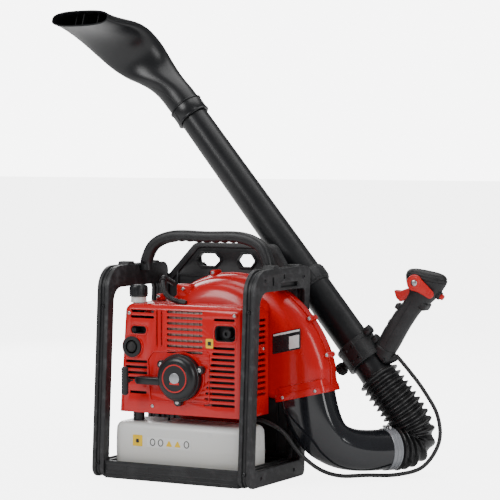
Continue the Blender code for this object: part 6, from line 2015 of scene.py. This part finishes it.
class BLOWER_OT_grip_controls(bpy.types.Operator):
    """Makes the red trigger, the cruise lever with its screw, and the stop button."""
    bl_idname = "blower.grip_controls"
    bl_label = "Grip Controls"

    def execute(self, context):
        shape = [(0.002, 0.003), (-0.01, -0.004), (-0.019, -0.015), (-0.0305, -0.0205),
                 (-0.0325, -0.024), (-0.021, -0.034), (-0.0095, -0.0365), (0.0, -0.0265),
                 (0.005, -0.01)]
        outline = rounded_loop(shape, [0.003, 0.004, 0.006, 0.002, 0.002, 0.003, 0.003, 0.004,
                                       0.004], 4)
        place = grip_frame(TRIGGER_PIVOT)
        trigger = plate([outline], -TRIGGER_HALF, TRIGGER_HALF, 0.0022, place, 3)
        rib = []
        for u, v in ((-0.0275, -0.027), (-0.024, -0.03), (-0.02, -0.0322)):
            bar = rod(0.0007, (u, v, -0.004), (u, v, 0.004), 0.0003, 10)
            bar.transform(place)
            rib.append(bar)
        piece("trigger_body", joined("trigger", [trigger, *rib]), "control_red", "trigger",
              ("throttle_trigger",))
        pivot = LEVER_PIVOT
        shape = []
        for k in range(19):
            turn = math.radians(55 + 222 * k / 18)
            shape.append((math.cos(turn) * LEVER_EYE, math.sin(turn) * LEVER_EYE))
        shape += [(0.013, -0.0132), (0.022, -0.0118), (0.032, -0.0112)]
        for k in range(11):
            turn = math.radians(-96 + 180 * k / 10)
            shape.append((0.04 + math.cos(turn) * LEVER_TIP,
                          -0.002 + math.sin(turn) * LEVER_TIP))
        shape += [(0.024, 0.0112)]
        lever = plate([shape], 0.0002, 0.0048, 0.0019,
                      Matrix.Translation((0, -0.0212, 0)) @ grip_frame(pivot), 3)
        ring = turned([(0.0072, 0.0016), (0.0118, 0.0016), (0.0128, 0.0006), (0.013, -0.001),
                       (0.0072, -0.001)], pivot + Vector((0, -0.0256, 0)), (0, -1, 0), 48)
        grips = [rod(0.0007, pivot + GRIP_OUT * u + GRIP_AXIS * (v - 0.0055) - Vector((
            0, 0.026, 0)), pivot + GRIP_OUT * u + GRIP_AXIS * (v + 0.0055) - Vector((
                0, 0.026, 0)), 0.0003, 10) for u, v in ((0.035, -0.002), (0.039, -0.002),
                                                         (0.043, -0.002))]
        piece("lock_lever_body", joined("lever", [lever, ring, *grips]), "control_red",
              "lock_lever", ("throttle_lock_lever",), 34)
        head = screw_head(0.0068, 0.0022)
        spots = [(pivot + Vector((0, -0.0264, 0)), (0, -1, 0))]
        piece("lever_screw_head", scattered(head, spots, "steel"), "steel", "grip",
              ("lever_screw",))
        spot = STOP_SPOT
        button = turned([(0, 0.008), (0.004, 0.008), (0.0054, 0.0072), (0.006, 0.0055),
                         (0.006, 0.0002), (0, 0.0002)], spot, GRIP_OUT, 36)
        piece("stop_button_body", button, "control_red", "stop_switch", ("stop_button",),
              34)
        bezel = turned([(0.0064, 0.001), (0.0084, 0.0008), (0.009, -0.0002), (0.0096, -0.008),
                        (0.0064, -0.008)], spot, GRIP_OUT, 36)
        piece("stop_button_bezel", bezel, "grip_black", "grip", (), 34)
        return {"FINISHED"}


# ---------------------------------------------------------------- wiring
class BLOWER_OT_wiring_loom(bpy.types.Operator):
    """Makes the spiral-wrapped wiring loop over the cover and the plug lead boot."""
    bl_idname = "blower.wiring_loom"
    bl_label = "Wiring Loom"

    def execute(self, context):
        route = ((-0.078, 0.036, 0.392), (-0.086, 0.02, 0.402), (-0.084, 0.002, 0.405),
                 (-0.074, -0.016, 0.396), (-0.06, -0.033, 0.38),
                 (-0.044, -0.044, 0.37), (-0.028, -0.048, 0.3645),
                 (-0.016, -0.047, 0.361))
        path = through(route, 10)
        long = sum((q - p).length for p, q in zip(path, path[1:]))
        values = {"Ribs": int(long / 0.0042), "Steps per Rib": 6, "Sides": 18,
                  "Groove Radius": 0.0044, "Rib Height": 0.0012, "Sharpness": 0.7}
        loom = BLOWER_OT_throttle_conduit.capped(ribbed_sleeve(path, values, "hose_rubber"))
        piece("wiring_loom", loom, "hose_rubber", "frame", (), 60)
        boot = cord_mesh([path[-1] + Vector((0.0, 0, 0.0005)), path[-1] + Vector(
            (0.006, 0.0004, -0.0012)), path[-1] + Vector((0.014, 0.0012, -0.003))],
            [0.0062, 0.0072, 0.0066], 24)
        clip = turned([(0.0056, 0.005), (0.0076, 0.005), (0.0076, 0), (0.0056, 0)],
                      path[26], path[28] - path[26], 28)
        piece("wiring_boot", joined("boot", [boot, clip]), "soft_rubber", "frame", (),
              50)
        return {"FINISHED"}


# ---------------------------------------------------------------- soft goods
STRAP_X, STRAP_WIDTH = 0.088, 0.05
STRAP_ROUTE = ((0.1506, 0.43), (0.17, 0.4), (0.174, 0.33), (0.17, 0.25),
               (0.16, 0.16), (0.144, 0.09))
PAD_VOXEL = 0.005


def swollen(name, mesh, cap, pressure=4.0):
    """A closed mesh puffed up as cloth under pressure, each point moving no further than cap."""
    mesh = modified(mesh, ("REMESH", {"mode": "VOXEL", "voxel_size": PAD_VOXEL,
                                      "use_smooth_shade": True}))
    scene = bpy.context.scene
    rest = [v.co.copy() for v in mesh.vertices]
    obj = linked(name, mesh)
    cloth = obj.modifiers.new("cloth", "CLOTH")
    settings = cloth.settings
    settings.use_pressure = True
    settings.uniform_pressure_force = pressure
    settings.effector_weights.gravity = 0.0
    settings.quality = 5
    cloth.point_cache.frame_start, cloth.point_cache.frame_end = 1, 20
    for step in range(1, 21):
        scene.frame_set(step)
    puffed = bpy.data.meshes.new_from_object(
        obj.evaluated_get(bpy.context.evaluated_depsgraph_get()))
    bpy.data.objects.remove(obj, do_unlink=True)
    scene.frame_set(1)
    for vert, start in zip(puffed.vertices, rest):
        move = vert.co - start
        if move.length > cap:
            vert.co = start + move.normalized() * cap
    return subdivided(puffed, 1)


def flat_uv(mesh, u_axis, v_axis):
    """A UV map in metres, laid flat along two directions."""
    layer = mesh.uv_layers.new(name="UVMap") if not mesh.uv_layers else mesh.uv_layers[0]
    u, v = Vector(u_axis), Vector(v_axis)
    for loop in mesh.loops:
        co = mesh.vertices[loop.vertex_index].co
        layer.data[loop.index].uv = (co.dot(u), co.dot(v))
    return mesh


def stitched(path, facing, long=0.0042, gap=0.0022):
    """Short thread stitches laid along a path."""
    bar = rod(0.00042, (0, -long / 2, 0), (0, long / 2, 0), 0.0003, 8)
    bm = bmesh.new()
    carried = 0.0
    for a, b in zip(path, path[1:]):
        step = (b - a).length
        while carried < step:
            spot = a.lerp(b, carried / step)
            part = bar.copy()
            along = (b - a).normalized()
            up = (Vector(facing) - along * along.dot(Vector(facing))).normalized()
            side = along.cross(up)
            part.transform(Matrix.Translation(spot + up * 0.0002) @ Matrix(
                (side, along, up)).transposed().to_4x4())
            bm.from_mesh(part)
            bpy.data.meshes.remove(part)
            carried += long + gap
        carried -= step
    bpy.data.meshes.remove(bar)
    mesh = bpy.data.meshes.new("stitches")
    bm.to_mesh(mesh)
    bm.free()
    return mesh


class BLOWER_OT_back_pad(bpy.types.Operator):
    """Makes the sewn back cushion with its piping, channels and stitches."""
    bl_idname = "blower.back_pad"
    bl_label = "Back Pad"

    def execute(self, context):
        low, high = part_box("back_pad")
        face = HALF_DEPTH + 0.0006
        z0, z1 = low.z + 0.004, high.z - 0.004
        shape = block((low.x + 0.004, face, z0), (high.x - 0.004, face + 0.0125, z1), 0.005, 3)
        pad = swollen("pad", shape, context.scene.blower_sizes.pad_swell * 0.65)
        channels = [z0 + (z1 - z0) * t for t in (0.26, 0.5, 0.74)]
        for vert in pad.vertices:
            co = vert.co
            groove = sum(math.exp(-((co.z - z) / 0.0042) ** 2) for z in channels)
            middle = math.exp(-(co.x / 0.0042) ** 2) if channels[0] < co.z < channels[-1] else 0
            depth = max(0.0, co.y - face - 0.003)
            co.y -= depth * 0.62 * min(1.0, groove + middle)
            fold = noise.noise(Vector((co.x * 38, co.z * 30, 1.7))) * 0.0007
            co.y = max(face, co.y + fold * min(1.0, depth / 0.006))
            co.x = min(high.x - 0.0002, max(low.x + 0.0002, co.x))
            co.z = min(high.z - 0.0002, max(low.z + 0.0002, co.z))
            co.y += LEAN * co.z
        flat_uv(pad, (1, 0, 0), (0, 0, 1))
        body = piece("back_pad_cushion", pad, "pad_mesh", "frame", ("back_pad",), 180)
        mid_y = face + 0.0062
        corner = rounded_loop([(low.x + 0.0035, z0), (high.x - 0.0035, z0),
                               (high.x - 0.0035, z1), (low.x + 0.0035, z1)], 0.012, 10)
        line = [Vector((u, leaned(mid_y, v), v)) for u, v in corner]
        piping = cord_mesh([*line, line[0], line[1]], 0.0024, 12, (0, 1, 0))
        flat_uv(piping, (1, 0, 1), (0, 1, 0))
        piece("back_pad_piping", piping, "webbing", "frame", (), 60)
        sewn = []
        top = face + 0.0108
        for z in channels:
            for drop in (-0.0034, 0.0034):
                sewn.append(stitched([Vector((low.x + 0.016, leaned(top, z + drop), z + drop)),
                                      Vector((high.x - 0.016, leaned(top, z + drop), z + drop))],
                                     (0, 1, 0)))
        piece("back_pad_stitches", joined("sewn", sewn), "thread", "frame", ())
        return {"FINISHED"}


class BLOWER_OT_shoulder_straps(bpy.types.Operator):
    """Makes both padded straps, the webbing sewn on them, and the ladder buckles."""
    bl_idname = "blower.shoulder_straps"
    bl_label = "Shoulder Straps"

    def execute(self, context):
        for side, node in ((-1, "left"), (1, "right")):
            self.padded_strap(context, side * STRAP_X, node)
            self.webbing(side * STRAP_X, node)
            self.buckle(node)
        return {"FINISHED"}

    @staticmethod
    def padded_strap(context, x, label):
        """The foam strap itself."""
        path = through([(x, y, z) for y, z in STRAP_ROUTE], 10)
        frames = path_frames(path, Vector((1, 0, 0)))
        rings = []
        for i, place in enumerate(frames):
            end = min(1.0, min(i, len(frames) - 1 - i) / 4.0)
            half = STRAP_WIDTH / 2 - 0.0022 - 0.006 * (1 - end) ** 2
            rings.append(section(place, half, 0.0036, 5.0, 28))
        pad = swollen("strap", loft(rings), context.scene.blower_sizes.pad_swell * 0.16, 3.0)
        low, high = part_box("shoulder_strap_" + label)
        for vert in pad.vertices:
            for k in range(3):
                vert.co[k] = min(high[k] + 0.001, max(low[k] - 0.001, vert.co[k]))
            edge = (abs(vert.co.x - x) - (STRAP_WIDTH / 2 - 0.0065)) / 0.0016
            vert.co.y -= 0.0009 * math.exp(-edge * edge)
        flat_uv(pad, (1, 0, 0), (0, 0, 1))
        strap = piece("shoulder_strap_pad_" + label, pad, "pad_mesh", "frame",
                      ("shoulder_strap_" + label,), 180)

    @staticmethod
    def webbing(x, label):
        """The flat webbing along the strap, its stitches, and its tail to the buckle."""
        path = through([(x, y, z) for y, z in STRAP_ROUTE], 10)
        frames = path_frames(path, Vector((1, 0, 0)))
        lift = [p + up * (0.006 if up.y > 0 else -0.006) for p, s, up in frames[2:]]
        tail = [Vector((x, 0.1402, 0.076)), Vector((x, 0.139, 0.062))]
        line = through([*lift[::4], lift[-1], *tail], 5)
        rings = [section((p, s, u), 0.0125, 0.0008, 8.0, 16)
                 for p, s, u in path_frames(line, Vector((1, 0, 0)))]
        band = loft(rings)
        flat_uv(band, (1, 0, 0), (0, 0, 1))
        piece("strap_webbing_" + label, band, "webbing", "frame", (), 50)
        sewn = [stitched([p + Vector((off, 0, 0)) + (Vector((0, 0.0012, 0)))
                          for p in line[4:-14]], (0, 1, 0)) for off in (-0.0105, 0.0105)]
        piece("strap_stitches_" + label, joined("sewn", sewn), "thread", "frame", ())
        top = through([(x, 0.149, 0.429), (x, 0.146, 0.437), (x, 0.1452, 0.444),
                       (x, 0.1446, 0.456)], 5)
        rings = [section((p, s, u), 0.0125, 0.0009, 8.0, 16)
                 for p, s, u in path_frames(top, Vector((1, 0, 0)))]
        hook = loft(rings)
        flat_uv(hook, (1, 0, 0), (0, 0, 1))
        piece("strap_hanger_" + label, hook, "webbing", "frame", (), 50)

    @staticmethod
    def buckle(label):
        """The ladder buckle at the strap's lower end."""
        low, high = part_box("strap_buckle_" + label)
        y = (low.y + high.y) / 2
        outer = rectangle(low.x + 0.0003, low.z + 0.0003, high.x - 0.0003, high.z - 0.0003,
                          0.004, 6)
        slots = [rectangle(low.x + 0.006, z, high.x - 0.006, z + 0.0052, 0.0015, 4)
                 for z in (low.z + 0.005, low.z + 0.015, low.z + 0.0255)]
        frame_plate = plate([outer, *slots], -y - 0.0028, -y + 0.0028, 0.0011, FACING)
        bars = [rod(0.0021, (low.x + 0.005, y, z), (high.x - 0.005, y, z), 0.0006, 16)
                for z in (low.z + 0.0126, low.z + 0.0228)]
        piece("ladder_buckle_" + label, joined("buckle", [frame_plate, *bars]), "tube_black",
              "frame", ("strap_buckle_" + label,))


# ---------------------------------------------------------------- stage
CAMERA_PLACE = (2.2672, -3.8868, 0.6916)
CAMERA_TURN = (math.radians(87.1218), 0.0, math.radians(28.9018))
LENS, SENSOR = 158.4, 36.0
AIM = Vector((0.0, 0.06, 0.46))


def area_light(name, place, size, power, tint=(1.0, 1.0, 1.0)):
    """A soft rectangular light aimed at the middle of the object."""
    data = bpy.data.lights.new(name, "AREA")
    data.shape = "RECTANGLE"
    data.size, data.size_y = size
    data.energy = power
    data.color = tint
    obj = linked(name, data)
    obj.location = place
    obj.rotation_euler = (AIM - Vector(place)).to_track_quat("-Z", "Y").to_euler()
    return obj


class BLOWER_OT_stage(bpy.types.Operator):
    """Makes the camera, the pale floor and the soft studio light."""
    bl_idname = "blower.stage"
    bl_label = "Stage"

    def execute(self, context):
        kept = set(NODES.values()) | set(frame["bodies"].values())
        for obj in list(bpy.data.objects):
            if obj not in kept:
                bpy.data.objects.remove(obj, do_unlink=True)
        stage = context.scene.blower_stage
        data = bpy.data.cameras.new("camera")
        data.lens, data.sensor_width = LENS, SENSOR
        camera = linked("camera", data)
        camera.location, camera.rotation_euler = CAMERA_PLACE, CAMERA_TURN
        context.scene.camera = camera
        half = 30.0
        floor = bpy.data.meshes.new("floor")
        floor.from_pydata([(-half, -half, 0), (half, -half, 0), (half, half, 0),
                           (-half, half, 0)], [], [(0, 1, 2, 3)])
        mat, net, shader = blank_material("floor")
        place = net.add("ShaderNodeTexCoord").outputs["Object"]
        cloud = net.add("ShaderNodeTexNoise", {"Vector": place, "Scale": 2.0}).outputs[0]
        net.put(shader.inputs["Base Color"], net.blend(cloud, rgba(stage.floor_white),
                                                       rgba(stage.floor_white, 1.02)))
        shader.inputs["Roughness"].default_value = 0.9
        shader.inputs["Emission Color"].default_value = (1.0, 1.0, 1.0, 1.0)
        shader.inputs["Emission Strength"].default_value = 1.0
        seen = net.add("ShaderNodeLightPath").outputs["Is Camera Ray"]
        net.put(shader.inputs["Emission Strength"], net.ramp(seen, 0.0, 1.0, FLOOR_GLOW,
                                                             FLOOR_SEEN))
        shader.inputs["Specular IOR Level"].default_value = 0.1
        floor.materials.append(mat)
        floor_object = linked("floor", floor)
        floor_object.location.z = -0.0006
        world = bpy.data.worlds.new("studio")
        world.use_nodes = True
        context.scene.world = world
        net = Net(world.node_tree)
        back = world.node_tree.nodes["Background"]
        seen = net.add("ShaderNodeLightPath").outputs["Is Camera Ray"]
        net.put(back.inputs["Color"], (1.0, 1.0, 1.0, 1.0))
        net.put(back.inputs["Strength"], net.ramp(seen, 0.0, 1.0, WORLD_LIGHT, WORLD_SEEN))
        area_light("key", (-1.3, -2.6, 2.3), (1.6, 1.6), stage.key_power)
        area_light("fill", (3.0, -1.1, 1.5), (1.0, 2.2), stage.fill_power)
        area_light("top", (0.2, 0.6, 3.0), (2.6, 2.6), stage.key_power * 0.8)
        area_light("rim", (-1.8, 1.9, 1.5), (1.0, 2.0), stage.fill_power)
        return {"FINISHED"}


FLOOR_GLOW, FLOOR_SEEN = 0.18, 5.0
WORLD_LIGHT, WORLD_SEEN = 0.22, 7.0


# ---------------------------------------------------------------- finishes on frame nodes
NODE_FINISHES = {
    "frame_black": ("frame_left_loop", "frame_right_loop", "base_tray", "back_panel",
                    "carry_handle", "strap_buckle_left", "strap_buckle_right"),
    "tube_black": ("lower_tube", "upper_tube", "coupling_ring", "blower_nozzle",
                   "starter_housing", "starter_grip", "bracket_knob", "primer_base",
                   "handle_bracket", "fuel_cap", "throttle_conduit"),
    "duct_gloss": ("elbow_duct",),
    "clamp_grey": ("hose_clamp",),
    "hose_rubber": ("bellows_hose", "filler_hose", "fuel_line"),
    "soft_rubber": ("grip_cap", "primer_bulb", "rubber_mount_1", "rubber_mount_2",
                    "rubber_mount_3", "rubber_mount_4", "air_filter"),
    "grip_black": ("control_grip",),
    "shell_red": ("engine_cover", "fan_housing_front", "fan_housing_rear"),
    "tank_white": ("fuel_tank", "filler_neck"),
    "control_red": ("throttle_trigger", "throttle_lock_lever", "stop_button"),
    "steel": ("lever_screw", "crankshaft", "con_rod", "piston", "recoil_spring"),
    "exhaust_steel": ("muffler",),
    "cast_alloy": ("crankcase", "cylinder", "flywheel", "carburettor", "fan_impeller"),
    "ceramic": ("spark_plug",),
    "bolt_black": ("ignition_coil", "choke_lever", "starter_pulley"),
    "webbing": ("shoulder_strap_left", "shoulder_strap_right"),
    "pad_mesh": ("back_pad",),
    "rope": ("starter_rope",),
}


class BLOWER_OT_frame_finishes(bpy.types.Operator):
    """Gives every frame node its own procedural finish."""
    bl_idname = "blower.frame_finishes"
    bl_label = "Frame Finishes"

    def execute(self, context):
        dressed = set()
        for finish, names in NODE_FINISHES.items():
            for name in names:
                mesh = NODES[name].data
                mesh.materials.clear()
                mesh.materials.append(finish_of(finish))
                dressed.add(name)
        bare = sorted(set(NODES) - dressed)
        if bare:
            raise RuntimeError("frame nodes without a finish: " + ", ".join(bare))
        return {"FINISHED"}


PIECE_OPERATORS = (BLOWER_OT_stage, BLOWER_OT_frame_finishes, BLOWER_OT_frame_loops, 
BLOWER_OT_base_tray, BLOWER_OT_back_panel, BLOWER_OT_carry_handle, BLOWER_OT_engine_cover, 
BLOWER_OT_fan_shroud, BLOWER_OT_recoil_starter, BLOWER_OT_pull_grip, BLOWER_OT_fuel_tank, 
BLOWER_OT_fuel_cap, BLOWER_OT_fan_housing, BLOWER_OT_air_duct, BLOWER_OT_ribbed_hose, 
BLOWER_OT_throttle_conduit, BLOWER_OT_blower_tubes, BLOWER_OT_blower_nozzle, 
BLOWER_OT_grip_bracket, BLOWER_OT_control_grip, BLOWER_OT_grip_controls, 
BLOWER_OT_wiring_loom, BLOWER_OT_back_pad, BLOWER_OT_shoulder_straps)


# ---------------------------------------------------------------- add-on
GROUP_CLASSES = (BlowerColours, BlowerSizes, BlowerStage)


class BLOWER_PT_pieces(bpy.types.Panel):
    """Lists the stage and every piece of the blower."""
    bl_idname = "BLOWER_PT_pieces"
    bl_label = "Backpack Blower"
    bl_space_type = "VIEW_3D"
    bl_region_type = "UI"
    bl_category = "Blower"

    def draw(self, context):
        column = self.layout.column(align=True)
        for made in PIECE_OPERATORS:
            column.operator(made.bl_idname)
        for held in ("blower_colours", "blower_sizes", "blower_stage"):
            values = getattr(context.scene, held)
            for key in values.bl_rna.properties.keys():
                if key not in ("rna_type", "name"):
                    self.layout.prop(values, key)


CLASSES = (*GROUP_CLASSES, *PIECE_OPERATORS, BLOWER_PT_pieces)


def register():
    """Registers the classes and hangs the settings on the scene."""
    for cls in CLASSES:
        bpy.utils.register_class(cls)
    bpy.types.Scene.blower_colours = PointerProperty(type=BlowerColours)
    bpy.types.Scene.blower_sizes = PointerProperty(type=BlowerSizes)
    bpy.types.Scene.blower_stage = PointerProperty(type=BlowerStage)


def unregister():
    """Removes the settings and the classes."""
    for held in ("blower_colours", "blower_sizes", "blower_stage"):
        delattr(bpy.types.Scene, held)
    for cls in reversed(CLASSES):
        bpy.utils.unregister_class(cls)


def main():
    """Builds every piece in order."""
    register()
    for made in PIECE_OPERATORS:
        family, call = made.bl_idname.split(".")
        getattr(getattr(bpy.ops, family), call)()


if __name__ == "__main__":
    main()
